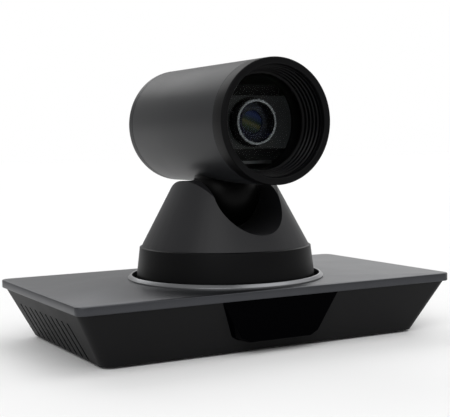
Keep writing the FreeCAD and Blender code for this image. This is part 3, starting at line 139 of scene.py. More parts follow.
class CameraView(bpy.types.PropertyGroup):
    """Where the view is taken from."""
    azimuth: bpy.props.FloatProperty(name="Azimuth", description="Turn of the view from straight ahead",
                                     default=math.radians(-28.96), subtype="ANGLE")
    elevation: bpy.props.FloatProperty(name="Elevation", description="Height of the view above level",
                                       default=math.radians(3.84), subtype="ANGLE")
    roll: bpy.props.FloatProperty(name="Roll", description="Lean of the view", default=math.radians(-0.81),
                                  subtype="ANGLE")
    distance: length("Distance", "From the aim point to the view", 658.3)
    aim_x: length("Aim X", "The aim point's place to the right of the pan axis", 2.1)
    aim_z: length("Aim Z", "The aim point's height", 80.06)
    lens: bpy.props.FloatProperty(name="Lens", description="Focal length on a 36 mm sensor", default=82.2,
                                  unit="CAMERA")


# Materials. Each starts from what the real one is and how its surface was made.
def add_node(material, kind, inputs=None, **settings):
    """Adds one node with its settings; an input is a value or another node's socket."""
    node = material.node_tree.nodes.new(kind)
    for key, value in settings.items():
        setattr(node, key, value)
    for key, value in (inputs or {}).items():
        if isinstance(value, bpy.types.NodeSocket):
            material.node_tree.links.new(value, node.inputs[key])
        else:
            node.inputs[key].default_value = value
    return node


def per_metre(millimetres):
    """The texture scale that gives a feature of this size."""
    return 1.0 / (millimetres * MM)


def surface(name, base, roughness, **values):
    """A new material with a Principled shader; values are set on the shader's own sockets."""
    material = bpy.data.materials.new(name)
    material.use_nodes = True
    material.node_tree.nodes.clear()
    inputs = {"Base Color": (*base, 1.0), "Roughness": roughness}
    inputs.update({key.replace("_", " "): value for key, value in values.items()})
    shader = add_node(material, "ShaderNodeBsdfPrincipled", inputs)
    add_node(material, "ShaderNodeOutputMaterial", {"Surface": shader.outputs["BSDF"]})
    return material, shader


def object_place(material):
    """Coordinates fixed to the object, in metres."""
    return add_node(material, "ShaderNodeTexCoord").outputs["Object"]


def grain(material, shader, size_mm, depth_mm, strength=1.0):
    """Raises a fine random grain of this size and depth."""
    noise = add_node(material, "ShaderNodeTexNoise",
                     {"Vector": object_place(material), "Scale": per_metre(size_mm), "Detail": 3.0})
    bump = add_node(material, "ShaderNodeBump", {"Height": noise.outputs["Fac"], "Strength": strength,
                                                 "Distance": depth_mm * MM})
    material.node_tree.links.new(bump.outputs["Normal"], shader.inputs["Normal"])
    return noise.outputs["Fac"]


def uneven(material, shader, base, size_mm, share, rough_low, rough_high):
    """Lets the colour and the gloss drift over patches of this size, as handling and moulding leave them."""
    noise = add_node(material, "ShaderNodeTexNoise",
                     {"Vector": object_place(material), "Scale": per_metre(size_mm), "Detail": 4.0})
    darker = (*[c * (1 - share) for c in base], 1.0)
    lighter = (*[c * (1 + share) for c in base], 1.0)
    mix = colour_mix(material, noise.outputs["Fac"], darker, lighter)
    material.node_tree.links.new(mix, shader.inputs["Base Color"])
    gloss = add_node(material, "ShaderNodeMapRange",
                     {"Value": noise.outputs["Fac"], "To Min": rough_low, "To Max": rough_high})
    material.node_tree.links.new(gloss.outputs["Result"], shader.inputs["Roughness"])


def colour_mix(material, share, first, second):
    """Blends two colours by a texture's value."""
    ramp = add_node(material, "ShaderNodeValToRGB", {"Fac": share})
    ramp.color_ramp.elements[0].position, ramp.color_ramp.elements[0].color = 0.3, first
    ramp.color_ramp.elements[1].position, ramp.color_ramp.elements[1].color = 0.7, second
    return ramp.outputs["Color"]


def dark_anodised_plate(base):
    # Bead-blasted aluminium, anodised dark grey: an even satin sheen with a very fine sparkle.
    material, shader = surface("dark_anodised_plate", base, 0.4, Metallic=1.0)
    uneven(material, shader, base, 22.0, 0.06, 0.36, 0.44)
    grain(material, shader, 0.35, 0.006)  # blasting grit is about 0.1 mm; drawn coarser to show
    return material


def spark_textured_abs(base):
    # Injection-moulded ABS from a spark-eroded tool: dark, dry, with a fine pebble.
    material, shader = surface("spark_textured_abs", base, 0.5, Specular_IOR_Level=0.12)
    uneven(material, shader, base, 30.0, 0.1, 0.46, 0.56)
    grain(material, shader, 0.5, 0.02)
    return material


def satin_abs(base):
    # Injection-moulded ABS from a plain satin tool: dark with soft, long highlights.
    material, shader = surface("satin_abs", base, 0.42, Specular_IOR_Level=0.08)
    uneven(material, shader, base, 25.0, 0.08, 0.36, 0.46)
    grain(material, shader, 0.6, 0.006)
    return material


def soft_touch_lacquer(base):
    # Rubbery lacquer sprayed on ABS: velvety, with broad highlights and no mirror images.
    material, shader = surface("soft_touch_lacquer", base, 0.46, Specular_IOR_Level=0.24)
    uneven(material, shader, base, 28.0, 0.07, 0.42, 0.5)
    grain(material, shader, 0.45, 0.008)
    return material


def satin_powder_coat(base):
    # Fine satin powder coat on an aluminium tube: a faint orange peel under a soft sheen.
    material, shader = surface("satin_powder_coat", base, 0.42, Specular_IOR_Level=0.24)
    uneven(material, shader, base, 30.0, 0.06, 0.38, 0.46)
    grain(material, shader, 0.8, 0.01)
    return material


def smoked_acrylic(base):
    # Polished acrylic dyed for infra-red: black to the eye, with a wet gloss.
    material, shader = surface("smoked_acrylic", base, 0.08, Specular_IOR_Level=0.01)
    uneven(material, shader, base, 15.0, 0.05, 0.06, 0.1)
    return material


def turned_aluminium(base):
    # Aluminium turned on a lathe and satin anodised: fine rings round the axis catch the light.
    material, shader = surface("turned_aluminium", base, 0.32, Metallic=1.0)
    uneven(material, shader, base, 18.0, 0.04, 0.28, 0.36)
    turns = add_node(material, "ShaderNodeTexWave",
                     {"Vector": object_place(material), "Scale": wave_scale(0.4), "Distortion": 0.0},
                     wave_type="RINGS", rings_direction="Z")
    bump = add_node(material, "ShaderNodeBump", {"Height": turns.outputs["Fac"], "Distance": 0.004 * MM})
    material.node_tree.links.new(bump.outputs["Normal"], shader.inputs["Normal"])
    return material


def wave_scale(spacing_mm):
    """The wave texture's scale for rings this far apart; one turn of it is a twentieth of two pi."""
    return 2 * math.pi / (20 * spacing_mm * MM)


def matt_hood_black(base):
    # Black polycarbonate with a matt tool face, for a lens hood: only edges catch light.
    material, shader = surface("matt_hood_black", base, 0.34, Specular_IOR_Level=0.1)
    uneven(material, shader, base, 12.0, 0.1, 0.34, 0.44)
    grain(material, shader, 0.4, 0.004)
    return material


def mask_plastic(base):
    # Polished dark grey plastic: smooth enough to mirror a lamp.
    material, shader = surface("mask_plastic", base, 0.22, Specular_IOR_Level=0.25)
    uneven(material, shader, base, 14.0, 0.08, 0.18, 0.26)
    return material


def lens_tube_black():
    # Hard-anodised lens tube, turned and blackened.
    base = linear("#101012")
    material, shader = surface("lens_tube_black", base, 0.25, Specular_IOR_Level=0.5)
    uneven(material, shader, base, 8.0, 0.1, 0.2, 0.3)
    return material


def lens_ring_edge():
    # The lens tube's front edge, where the blackening is polished to a grey shine.
    base = linear("#7c7f83")
    material, shader = surface("lens_ring_edge", base, 0.25, Metallic=0.9)
    uneven(material, shader, base, 5.0, 0.15, 0.2, 0.32)
    return material


def thin_glass(name, body, sheen, roughness, ior):
    """Glass thin enough to see straight through, with its gloss by Fresnel's law."""
    material = bpy.data.materials.new(name)
    material.use_nodes = True
    material.node_tree.nodes.clear()
    clear = add_node(material, "ShaderNodeBsdfTransparent", {"Color": (*body, 1.0)})
    noise = add_node(material, "ShaderNodeTexNoise",
                     {"Vector": object_place(material), "Scale": per_metre(12.0)})
    smear = add_node(material, "ShaderNodeMapRange",
                     {"Value": noise.outputs["Fac"], "To Min": roughness * 0.5, "To Max": roughness * 1.5})
    gloss = add_node(material, "ShaderNodeBsdfAnisotropic",
                     {"Color": (*sheen, 1.0), "Roughness": smear.outputs["Result"]})
    fresnel = add_node(material, "ShaderNodeFresnel", {"IOR": ior})
    both = add_node(material, "ShaderNodeMixShader", {0: fresnel.outputs["Fac"], 1: clear.outputs["BSDF"],
                                                      2: gloss.outputs["BSDF"]})
    add_node(material, "ShaderNodeOutputMaterial", {"Surface": both.outputs["Shader"]})
    return material


def clear_window_glass():
    # Float glass with a coat against reflections: flat, polished, all but colourless.
    return thin_glass("clear_window_glass", linear("#f3f4f3"), linear("#7d8480"), 0.02, 1.15)


def coated_front_glass():
    # Crown glass with a magnesium fluoride coat: clear, with a blue-violet bloom in its reflections.
    return thin_glass("coated_front_glass", linear("#e6e7e6"), linear("#46508c"), 0.03, 1.4)


def inner_glass_painted_reflections():
    # A deep element behind it: dark glass whose base colour carries painted reflections, olive and amber
    # stripes low down and blue at the top, laid by height and slant across the element.
    low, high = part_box("front_lenses")
    material, shader = surface("inner_glass_painted_reflections", linear("#0a0f0a"), 0.1, Specular_IOR_Level=0.4)
    split = add_node(material, "ShaderNodeSeparateXYZ", {"Vector": object_place(material)})
    rise = add_node(material, "ShaderNodeMapRange",
                    {"Value": split.outputs["Z"], "From Min": low.z, "From Max": high.z})
    slant = add_node(material, "ShaderNodeMapRange",
                     {"Value": split.outputs["X"], "From Min": low.x, "From Max": high.x,
                      "To Min": -0.2, "To Max": 0.2})
    across = add_node(material, "ShaderNodeMath", {0: rise.outputs["Result"], 1: slant.outputs["Result"]})
    ramp = add_node(material, "ShaderNodeValToRGB", {"Fac": across.outputs["Value"]})
    # Painted reflections: an olive and amber glow low down, a blue highlight at the top, dark between and at
    # the ends.
    painted_reflection_bands = [(0.2, "#0d120b"), (0.36, "#37471a"), (0.46, "#6a6426"),
             (0.54, "#2a3a1c"), (0.72, "#3a4680"), (0.9, "#0a0b12")]
    for _ in painted_reflection_bands[2:]:
        ramp.color_ramp.elements.new(0.5)
    for element, (position, code) in zip(ramp.color_ramp.elements, painted_reflection_bands):
        element.position, element.color = position, (*linear(code), 1.0)
    material.node_tree.links.new(ramp.outputs["Color"], shader.inputs["Base Color"])
    return material


def plated_steel():
    # Zinc-plated steel: cool grey with faint brushing along the part.
    base = linear("#b4b6b9")
    material, shader = surface("plated_steel", base, 0.3, Metallic=1.0)
    uneven(material, shader, base, 3.0, 0.08, 0.24, 0.38)
    grain(material, shader, 0.25, 0.003)
    return material


def zinc_sheet():
    # Galvanised sheet: overlapping crystals a few millimetres across, each its own grey.
    base = linear("#8e9194")
    material, shader = surface("zinc_sheet", base, 0.38, Metallic=1.0)
    spangle = add_node(material, "ShaderNodeTexVoronoi",
                       {"Vector": object_place(material), "Scale": per_metre(4.0)})
    grey = add_node(material, "ShaderNodeRGBToBW", {"Color": spangle.outputs["Color"]})
    darker, lighter = (*[c * 0.85 for c in base], 1.0), (*[c * 1.1 for c in base], 1.0)
    tone = colour_mix(material, grey.outputs["Val"], darker, lighter)
    material.node_tree.links.new(tone, shader.inputs["Base Color"])
    gloss = add_node(material, "ShaderNodeMapRange",
                     {"Value": grey.outputs["Val"], "To Min": 0.32, "To Max": 0.46})
    material.node_tree.links.new(gloss.outputs["Result"], shader.inputs["Roughness"])
    return material


def turned_brass():
    # Free-cutting brass as turned: warm yellow, bright.
    base = linear("#c9a35a")
    material, shader = surface("turned_brass", base, 0.28, Metallic=1.0)
    uneven(material, shader, base, 2.5, 0.1, 0.22, 0.36)
    return material


def cast_alloy():
    # Pressure-cast aluminium left bare: light grey, slightly pitted.
    base = linear("#a7a9ab")
    material, shader = surface("cast_alloy", base, 0.5, Metallic=1.0)
    uneven(material, shader, base, 6.0, 0.08, 0.44, 0.58)
    grain(material, shader, 0.5, 0.02)
    return material


def moulded_acetal():
    # Natural acetal gears: creamy white, waxy.
    base = linear("#e6e3d8")
    material, shader = surface("moulded_acetal", base, 0.42, Subsurface_Weight=0.1, Subsurface_Scale=0.001)
    uneven(material, shader, base, 8.0, 0.03, 0.38, 0.48)
    return material


def moulded_rubber():
    # Filled rubber: near black, dusty, no shine.
    base = linear("#1c1c1c")
    material, shader = surface("moulded_rubber", base, 0.8, Specular_IOR_Level=0.3)
    uneven(material, shader, base, 4.0, 0.15, 0.72, 0.88)
    grain(material, shader, 0.3, 0.02)
    return material


def solder_mask():
    # Glass-epoxy board under green solder mask, with the woven cloth just showing.
    base = linear("#14532d")
    material, shader = surface("solder_mask", base, 0.3, Specular_IOR_Level=0.5)
    uneven(material, shader, base, 5.0, 0.12, 0.26, 0.36)
    grain(material, shader, 0.6, 0.01)
    return material


def connector_plastic():
    # Glass-filled nylon of a connector's body: dull black.
    base = linear("#18181a")
    material, shader = surface("connector_plastic", base, 0.5, Specular_IOR_Level=0.4)
    uneven(material, shader, base, 3.0, 0.15, 0.44, 0.58)
    grain(material, shader, 0.3, 0.01)
    return material


def pale_floor(base):
    # Matt painted board: pale, with no pattern to distract.
    material, shader = surface("pale_floor", base, 0.9, Specular_IOR_Level=0.1)
    uneven(material, shader, base, 300.0, 0.004, 0.88, 0.92)
    return material


# Mesh work.
def rounded(points, steps=5):
    """An outline whose corners are arcs: points are (u, v) or (u, v, radius), round a closed loop."""
    made = []
    for index, point in enumerate(points):
        corner = Vector(point[:2])
        radius = point[2] if len(point) > 2 else 0.0
        if radius <= 0.0:
            made.append(corner)
            continue
        before = Vector(points[index - 1][:2]) - corner
        after = Vector(points[(index + 1) % len(points)][:2]) - corner
        half = before.angle(after) / 2
        cut = min(radius / math.tan(half), before.length * CORNER_SHARE, after.length * CORNER_SHARE)
        radius = cut * math.tan(half)
        centre = corner + (before.normalized() + after.normalized()).normalized() * (radius / math.sin(half))
        first = corner + before.normalized() * cut - centre
        last = corner + after.normalized() * cut - centre
        start = math.atan2(first.y, first.x)
        turn = (math.atan2(last.y, last.x) - start + math.pi) % (2 * math.pi) - math.pi
        for step in range(steps + 1):
            angle = start + turn * step / steps
            made.append(centre + radius * Vector((math.cos(angle), math.sin(angle))))
    return made


def on_axis(axis, centre, along, across, up):
    """A point given by its place along an axis and its two offsets from it."""
    return {"X": Vector((along, centre[0] + across, centre[1] + up)),
            "Y": Vector((centre[0] + across, along, centre[1] + up)),
            "Z": Vector((centre[0] + across, centre[1] + up, along))}[axis]


def to_object(name, bm, sharp=math.radians(32)):
    """Turns a bmesh into a linked object with outward normals and smooth shading."""
    bmesh.ops.remove_doubles(bm, verts=bm.verts, dist=SAME_PLACE)
    bmesh.ops.recalc_face_normals(bm, faces=bm.faces)
    mesh = bpy.data.meshes.new(name)
    bm.to_mesh(mesh)
    bm.free()
    mesh.shade_smooth()
    mesh.set_sharp_from_angle(angle=sharp)
    obj = bpy.data.objects.new(name, mesh)
    bpy.context.scene.collection.objects.link(obj)
    return obj


def lathe(name, outline, axis, centre=(0.0, 0.0), segments=SEGMENTS):
    """A turned piece. The outline's points are (along, radius); one that starts on the axis ends on it."""
    bm = bmesh.new()
    turns = [2 * math.pi * k / segments for k in range(segments)]
    rings = []
    for along, radius in outline:
        spread = [0.0] if radius < SAME_PLACE else turns
        rings.append([bm.verts.new(on_axis(axis, centre, along, radius * math.sin(t), radius * math.cos(t)))
                      for t in spread])
    solid = len(rings[0]) == 1
    for low, high in zip(rings, rings[1:] if solid else rings[1:] + rings[:1]):
        for k in range(segments):
            after = (k + 1) % segments
            corners = [low[k % len(low)], low[after % len(low)], high[after % len(high)], high[k % len(high)]]
            unique = list(dict.fromkeys(corners))
            if len(unique) > 2:
                bm.faces.new(unique)
    return to_object(name, bm)


def prism(name, outline, axis, places, centre=(0.0, 0.0)):
    """A flat piece of this outline between two places along an axis."""
    bm = bmesh.new()
    ends = [[bm.verts.new(on_axis(axis, centre, along, u, v)) for u, v in outline] for along in places]
    bm.faces.new(ends[0])
    bm.faces.new(ends[1][::-1])
    for k in range(len(outline)):
        after = (k + 1) % len(outline)
        bm.faces.new([ends[0][k], ends[0][after], ends[1][after], ends[1][k]])
    return to_object(name, bm)


def keep_result(obj):
    """Makes what an object's modifiers give its own mesh."""
    graph = bpy.context.evaluated_depsgraph_get()
    mesh = bpy.data.meshes.new_from_object(obj.evaluated_get(graph))
    obj.modifiers.clear()
    obj.data = mesh


def carve(obj, tools):
    """Cuts an object with others and removes those others."""
    for tool in tools:
        step = obj.modifiers.new("Step", "BOOLEAN")
        step.object, step.operation, step.solver = tool, "DIFFERENCE", "EXACT"
    keep_result(obj)
    for tool in tools:
        bpy.data.objects.remove(tool)


def soften(obj, width, limit=math.radians(35)):
    """Breaks the sharp edges of a piece made here."""
    step = obj.modifiers.new("Edges", "BEVEL")
    step.width, step.segments, step.limit_method, step.angle_limit = width, 3, "ANGLE", limit
    step.harden_normals = True
    keep_result(obj)


def fresh_shading():
    """A modifier's node group that leaves out a mesh's stored normals and sharp marks."""
    group = bpy.data.node_groups.new("fresh_shading", "GeometryNodeTree")
    for way in ("INPUT", "OUTPUT"):
        group.interface.new_socket("Geometry", in_out=way, socket_type="NodeSocketGeometry")
    last = group.nodes.new("NodeGroupInput").outputs[0]
    for name in ("custom_normal", "sharp_edge", "sharp_face"):
        drop = group.nodes.new("GeometryNodeRemoveAttribute")
        drop.inputs["Name"].default_value = name
        group.links.new(last, drop.inputs["Geometry"])
        last = drop.outputs["Geometry"]
    group.links.new(last, group.nodes.new("NodeGroupOutput").inputs[0])
    return group


def soften_node(node, width):
    """Breaks the sharp edges of a CAD node by modifiers only, which leave its own mesh alone."""
    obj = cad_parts[node]
    shading = obj.modifiers.new("Shading", "NODES")
    shading.node_group = bpy.data.node_groups.get("fresh_shading") or fresh_shading()
    weld = obj.modifiers.new("Weld", "WELD")
    weld.merge_threshold = WELD_GAP
    flat = obj.modifiers.new("Flat faces", "DECIMATE")
    flat.decimate_type, flat.angle_limit = "DISSOLVE", math.radians(0.4)
    edges = obj.modifiers.new("Edges", "BEVEL")
    edges.width, edges.segments, edges.limit_method = width, 2, "ANGLE"
    edges.angle_limit, edges.use_clamp_overlap = math.radians(38), True
    normals = obj.modifiers.new("Normals", "WEIGHTED_NORMAL")
    normals.weight = 80


def place_piece(obj, body, material, slot, *replaced):
    """Finishes a piece: its material, the body it moves with and the CAD nodes that it stands for."""
    obj.data.materials.clear()
    obj.data.materials.append(material)
    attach(obj, body)
    if replaced:
        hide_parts(*replaced)


def paint(material, *nodes):
    """Gives CAD nodes that keep their own mesh a material, through their objects' slots."""
    for node in nodes:
        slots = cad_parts[node].material_slots
        if not slots:
            raise RuntimeError(f"{node} has no material slot")
        for slot in slots:
            slot.material = material


def span(node, axis):
    """The low and high place of a node along an axis."""
    low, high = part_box(node)
    return low["XYZ".index(axis)], high["XYZ".index(axis)]


def reach(node, axis="X"):
    """The radius of a round node about the middle of its box."""
    low, high = span(node, axis)
    return (high - low) / 2


def barrel_centre():
    """The barrel axis's place in X and Z."""
    low, high = span("barrel", "Z")
    return (0.0, (low + high) / 2)


class PTZ_OT_base(bpy.types.Operator):
    """Moulded base, its smoked window, the bottom cover and the rubber feet"""
    bl_idname = "ptz.base"
    bl_label = "Base"

    def execute(self, context):
        sizes, colours = context.scene.ptz_sizes, context.scene.ptz_colours
        paint(spark_textured_abs(colours.shell), "base_shell", "port_panel")
        soften_node("base_shell", sizes.edge)
        paint(smoked_acrylic(colours.window), "ir_window")
        soften_node("ir_window", sizes.edge)
        paint(zinc_sheet(), "bottom_cover")
        self.feet()
        return {"FINISHED"}

    def feet(self):
        low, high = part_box("rubber_feet")
        rubber = moulded_rubber()
        radius, dish = FOOT_RADIUS, FOOT_DISH
        spots = [(x, y) for x in (low.x + radius, high.x - radius) for y in (low.y + radius, high.y - radius)]
        for index, spot in enumerate(spots):
            outline = rounded([(low.z + dish, 0.0), (low.z + dish, radius * 0.6),
                               (low.z, radius * 0.68, 0.2 * MM), (low.z, radius, 0.5 * MM),
                               (high.z, radius, 0.1 * MM), (high.z, 0.0)])
            foot = lathe(f"foot_{index + 1}", outline, "Z", spot, segments=64)
            place_piece(foot, "base", rubber, "rubber_black", *(["rubber_feet"] if index == 0 else []))


class PTZ_OT_top_plate(bpy.types.Operator):
    """Anodised top plate with its hole, and the turned ring round the hole"""
    bl_idname = "ptz.top_plate"
    bl_label = "Top plate and ring"

    def execute(self, context):
        sizes, colours = context.scene.ptz_sizes, context.scene.ptz_colours
        low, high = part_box("top_plate")
        corner = sizes.plate_corner
        outline = rounded([(low.x, low.y, corner), (high.x, low.y, corner), (high.x, high.y, corner),
                           (low.x, high.y, corner)], steps=14)
        plate = prism("plate", outline, "Z", (low.z, high.z))
        soften(plate, sizes.plate_edge, math.radians(60))
        bore = prism("bore", circle(sizes.ring_bore), "Z", (low.z - MM, high.z + MM))
        carve(plate, [bore])
        plate.data.shade_smooth()
        plate.data.set_sharp_from_angle(angle=math.radians(30))
        place_piece(plate, "base", dark_anodised_plate(colours.plate), "plate_graphite", "top_plate")
        foot, crest = span("trim_ring", "Z")
        inner, outer = sizes.ring_bore, reach("trim_ring")
        ring = lathe("ring", rounded([(foot, inner), (foot, outer), (foot + RING_RIM, outer, 0.3 * MM),
                                      (crest, inner + sizes.ring_land, 0.5 * MM),
                                      (crest, inner, 0.3 * MM)]), "Z")
        place_piece(ring, "base", turned_aluminium(colours.ring), "ring_silver", "trim_ring")
        return {"FINISHED"}


def circle(radius, segments=SEGMENTS):
    """A round outline about the origin."""
    return [radius * Vector((math.cos(2 * math.pi * k / segments), math.sin(2 * math.pi * k / segments)))
            for k in range(segments)]


class PTZ_OT_sockets(bpy.types.Operator):
    """Rear sockets and the power button"""
    bl_idname = "ptz.sockets"
    bl_label = "Rear sockets"

    def execute(self, context):
        edge = context.scene.ptz_sizes.edge
        paint(connector_plastic(), "power_socket", "audio_sockets", "power_button")
        paint(plated_steel(), "lan_socket", "data_sockets")
        for node in ("port_panel", "power_socket", "audio_sockets", "lan_socket", "data_sockets",
                     "power_button"):
            soften_node(node, edge / 2)
        return {"FINISHED"}


class PTZ_OT_casing(bpy.types.Operator):
    """Collar, cone with its two ears, and the neck between them"""
    bl_idname = "ptz.casing"
    bl_label = "Turning casing"

    def execute(self, context):
        sizes, colours = context.scene.ptz_sizes, context.scene.ptz_colours
        low, high = span("collar", "Z")
        foot, top, cone_foot = reach("collar"), sizes.collar_top, reach("cone_shell")
        wall, shelf = sizes.collar_wall, high - LEDGE_DEPTH
        bore = foot - wall
        lip = bore - sizes.collar_ledge
        outline = rounded([(low, foot, sizes.edge), (high - 0.5 * MM, top, sizes.edge), (high, cone_foot),
                           (high, top - wall), (shelf, bore), (shelf, lip),
                           (shelf - LEDGE_THICK, lip), (shelf - LEDGE_THICK, bore), (low, bore)])
        place_piece(lathe("collar_skin", outline, "Z"), "pan_casing", satin_abs(colours.collar),
                    "collar_black", "collar")
        paint(soft_touch_lacquer(colours.casing), "cone_shell")
        soften_node("cone_shell", sizes.edge)
        # The neck's near-black colour stands in for the shade in the slot between the ears.
        paint(satin_abs(colours.neck), "neck_front_shell", "neck_rear_shell")
        return {"FINISHED"}


class PTZ_OT_barrel(bpy.types.Operator):
    """Barrel tube, front bezel and rear cap"""
    bl_idname = "ptz.barrel"
    bl_label = "Barrel"

    def execute(self, context):
        sizes, colours = context.scene.ptz_sizes, context.scene.ptz_colours
        coat = satin_powder_coat(colours.barrel)
        centre, outer, edge = barrel_centre(), reach("barrel"), sizes.edge
        bore = outer - sizes.barrel_wall
        seam, rear = span("barrel", "Y")
        outline = rounded([(seam, bore), (seam, outer, edge), (rear, outer, edge), (rear, bore)])
        tube = lathe("barrel_tube", outline, "Y", centre)
        post = lathe("neck_way", [(NECK_WAY_LOW, 0.0), (NECK_WAY_LOW, NECK_WAY), (centre[1], NECK_WAY),
                                  (centre[1], 0.0)], "Z")
        carve(tube, [post])
        place_piece(tube, "head", coat, "barrel_grey", "barrel")
        front = span("front_bezel", "Y")[0]
        lip, mouth = sizes.bezel_lip, sizes.bezel_bore
        outline = rounded([(seam + sizes.spigot, mouth), (front, mouth, lip), (front, outer, lip),
                           (seam, outer, edge), (seam, bore - FIT_GAP),
                           (seam + sizes.spigot, bore - FIT_GAP)], steps=8)
        bezel = lathe("bezel", outline, "Y", centre)
        # The bezel's dark colour paints the shade that falls on its front face.
        place_piece(bezel, "head", satin_abs(colours.bezel), "collar_black", "front_bezel")
        end = span("rear_cap", "Y")[1]
        floor, skirt = end - sizes.cap_wall, bore - sizes.cap_wall
        outline = rounded([(end, 0.0), (end, outer, sizes.cap_edge), (rear, outer, edge),
                           (rear, bore - FIT_GAP), (rear - sizes.spigot, bore - FIT_GAP),
                           (rear - sizes.spigot, skirt), (floor, skirt, 0.8 * MM), (floor, 0.0)], steps=8)
        cap = lathe("cap", outline, "Y", centre)
        place_piece(cap, "head", coat, "barrel_grey", "rear_cap")
        return {"FINISHED"}


class PTZ_OT_hood(bpy.types.Operator):
    """Stepped hood, glass, the ring behind it and the lens mask"""
    bl_idname = "ptz.hood"
    bl_label = "Hood and glass"

    def execute(self, context):
        sizes, colours = context.scene.ptz_sizes, context.scene.ptz_colours
        centre = barrel_centre()
        black = matt_hood_black(colours.hood)
        front, back = span("hood_baffle", "Y")
        outer, inner = reach("hood_baffle"), sizes.baffle_bore
        steps, edge = sizes.baffle_steps, HOOD_EDGE
        points = [(front, outer)]
        for index in range(steps):
            start = front + (back - front) * index / steps
            after = front + (back - front) * (index + 1) / steps
            radius = outer - 0.6 * MM - (outer - 1.2 * MM - inner) * index / steps
            points += [(start, radius, edge), (after - HOOD_RISER, radius + 0.15 * MM, edge)]
        points += [(back, inner), (back, outer)]
        place_piece(lathe("hood", rounded(points, steps=3), "Y", centre), "head", black, "baffle_black",
                    "hood_baffle")
        front, back = span("front_glass", "Y")
        rim = reach("front_glass")
        outline = rounded([(front, 0.0), (front, rim, 0.2 * MM), (back, rim, 0.2 * MM), (back, 0.0)])
        glass = lathe("window_glass", outline, "Y", centre)
        place_piece(glass, "head", clear_window_glass(), "clear_glass", "front_glass")
        front, back = span("glass_ring", "Y")
        outer, seat = reach("glass_ring"), rim - 1.5 * MM
        rib = reach("lens_mask") + 0.3 * MM
        ledge = span("lens_mask", "Y")[0] - 2.0 * MM
        points = [(front, seat, 0.2 * MM), (front, outer), (back, outer), (back, rib),
                  (ledge, rib, 0.15 * MM), (ledge, seat, 0.2 * MM)]
        place_piece(lathe("glass_seat", rounded(points, steps=3), "Y", centre), "head", black, "baffle_black",
                    "glass_ring")
        self.mask(sizes, colours, centre)
        return {"FINISHED"}

    def mask(self, sizes, colours, centre):
        """The lens mask: a disc cut flat above and below, with a round hole."""
        radius, chord = reach("lens_mask"), sizes.mask_chord
        across = math.asin(chord / radius)
        arc = [across * (2 * k / MASK_ARC_STEPS - 1) for k in range(MASK_ARC_STEPS + 1)]
        right = [radius * Vector((math.cos(a), math.sin(a))) for a in arc]
        left = [radius * Vector((-math.cos(a), -math.sin(a))) for a in arc]
        front, back = span("lens_mask", "Y")
        mask = prism("mask", right + left, "Y", (front, back), centre)
        bore = prism("bore", circle(sizes.mask_bore), "Y", (front - MM, back + MM), centre)
        carve(mask, [bore])
        soften(mask, 0.2 * MM)
        place_piece(mask, "head", mask_plastic(colours.mask), "mask_grey", "lens_mask")


class PTZ_OT_lens(bpy.types.Operator):
    """Lens tube with its polished ring, the front element and the coated element behind it"""
    bl_idname = "ptz.lens"
    bl_label = "Lens"

    def execute(self, context):
        sizes = context.scene.ptz_sizes
        centre = barrel_centre()
        front, back = span("lens_snout", "Y")
        outer, ring = reach("lens_snout"), sizes.snout_ring
        bore = ring + 0.5 * MM
        outline = rounded([(front, ring, 0.1 * MM), (front, outer - 0.4 * MM, 0.15 * MM),
                           (front + 0.4 * MM, outer), (back, outer), (back, bore), (front + 3 * MM, bore),
                           (front + 1.2 * MM, ring)], steps=3)
        tube = lathe("lens_tube", outline, "Y", centre)
        place_piece(tube, "head", lens_tube_black(), "snout_black", "lens_snout")
        tube.data.materials.append(lens_ring_edge())
        for face in tube.data.polygons:
            if face.center.y < front + RING_BAND:
                face.material_index = 1
        self.elements(sizes, centre, front, bore)
        return {"FINISHED"}

    def elements(self, sizes, centre, front, bore):
        """The front element, and the cell behind it with its coated element."""
        face, edge = span("front_lenses", "Y")[0], front + CELL_DEPTH
        radius = sizes.snout_ring - 0.1 * MM
        dome = dome_outline(face, radius, LENS_SAG)
        back = face + LENS_THICK
        glass = lathe("front_element", dome + [(back, radius), (back, 0.0)], "Y", centre)
        place_piece(glass, "head", coated_front_glass(), "lens_glass", "front_lenses")
        outline = rounded([(edge, sizes.cell_bore, 0.2 * MM), (edge, bore), (edge + CELL_THICK, bore),
                           (edge + CELL_THICK, sizes.cell_bore)])
        cell = lathe("inner_cell", outline, "Y", centre)
        place_piece(cell, "head", lens_tube_black(), "snout_black")
        inner = dome_outline(edge + DEEP_START, sizes.cell_bore, DEEP_SAG)
        back = edge + DEEP_END
        deep = lathe("inner_element", inner + [(back, sizes.cell_bore), (back, 0.0)], "Y", centre)
        place_piece(deep, "head", inner_glass_painted_reflections(), "lens_glass")


def dome_outline(start, radius, sag, steps=16):
    """The outline of a shallow dome that bulges towards -Y, from its tip out to its rim."""
    curve = (radius * radius + sag * sag) / (2 * sag)
    widest = math.asin(radius / curve)
    return [Vector((start + curve * (1 - math.cos(widest * k / steps)), curve * math.sin(widest * k / steps)))
            for k in range(steps + 1)]


class PTZ_OT_works(bpy.types.Operator):
    """Drives, bearings, boards and lens carriages inside"""
    bl_idname = "ptz.works"
    bl_label = "Inner works"

    def execute(self, context):
        paint(plated_steel(), "pan_motor", "tilt_motor", "lens_motors", "tilt_shaft", "tilt_bearings",
              "pan_bearing_inner", "pan_bearing_outer", "guide_rods", "base_screws", "collar_screws")
        paint(zinc_sheet(), "pan_chassis", "tilt_bracket", "head_frame")
        paint(turned_brass(), "tripod_insert", "spindle_nut", "tilt_drive_pulley", "pan_pinion")
        paint(cast_alloy(), "turntable", "heat_sink")
        paint(moulded_acetal(), "pan_gear", "zoom_carriage", "focus_carriage", "filter_slide")
        paint(moulded_rubber(), "tilt_belt", "pan_harness")
        paint(solder_mask(), "main_board", "ir_receiver", "drive_board", "camera_board", "sensor_board")
        paint(matt_hood_black(context.scene.ptz_colours.hood), "lens_housing")
        paint(coated_front_glass(), "zoom_lens", "focus_lens")
        return {"FINISHED"}


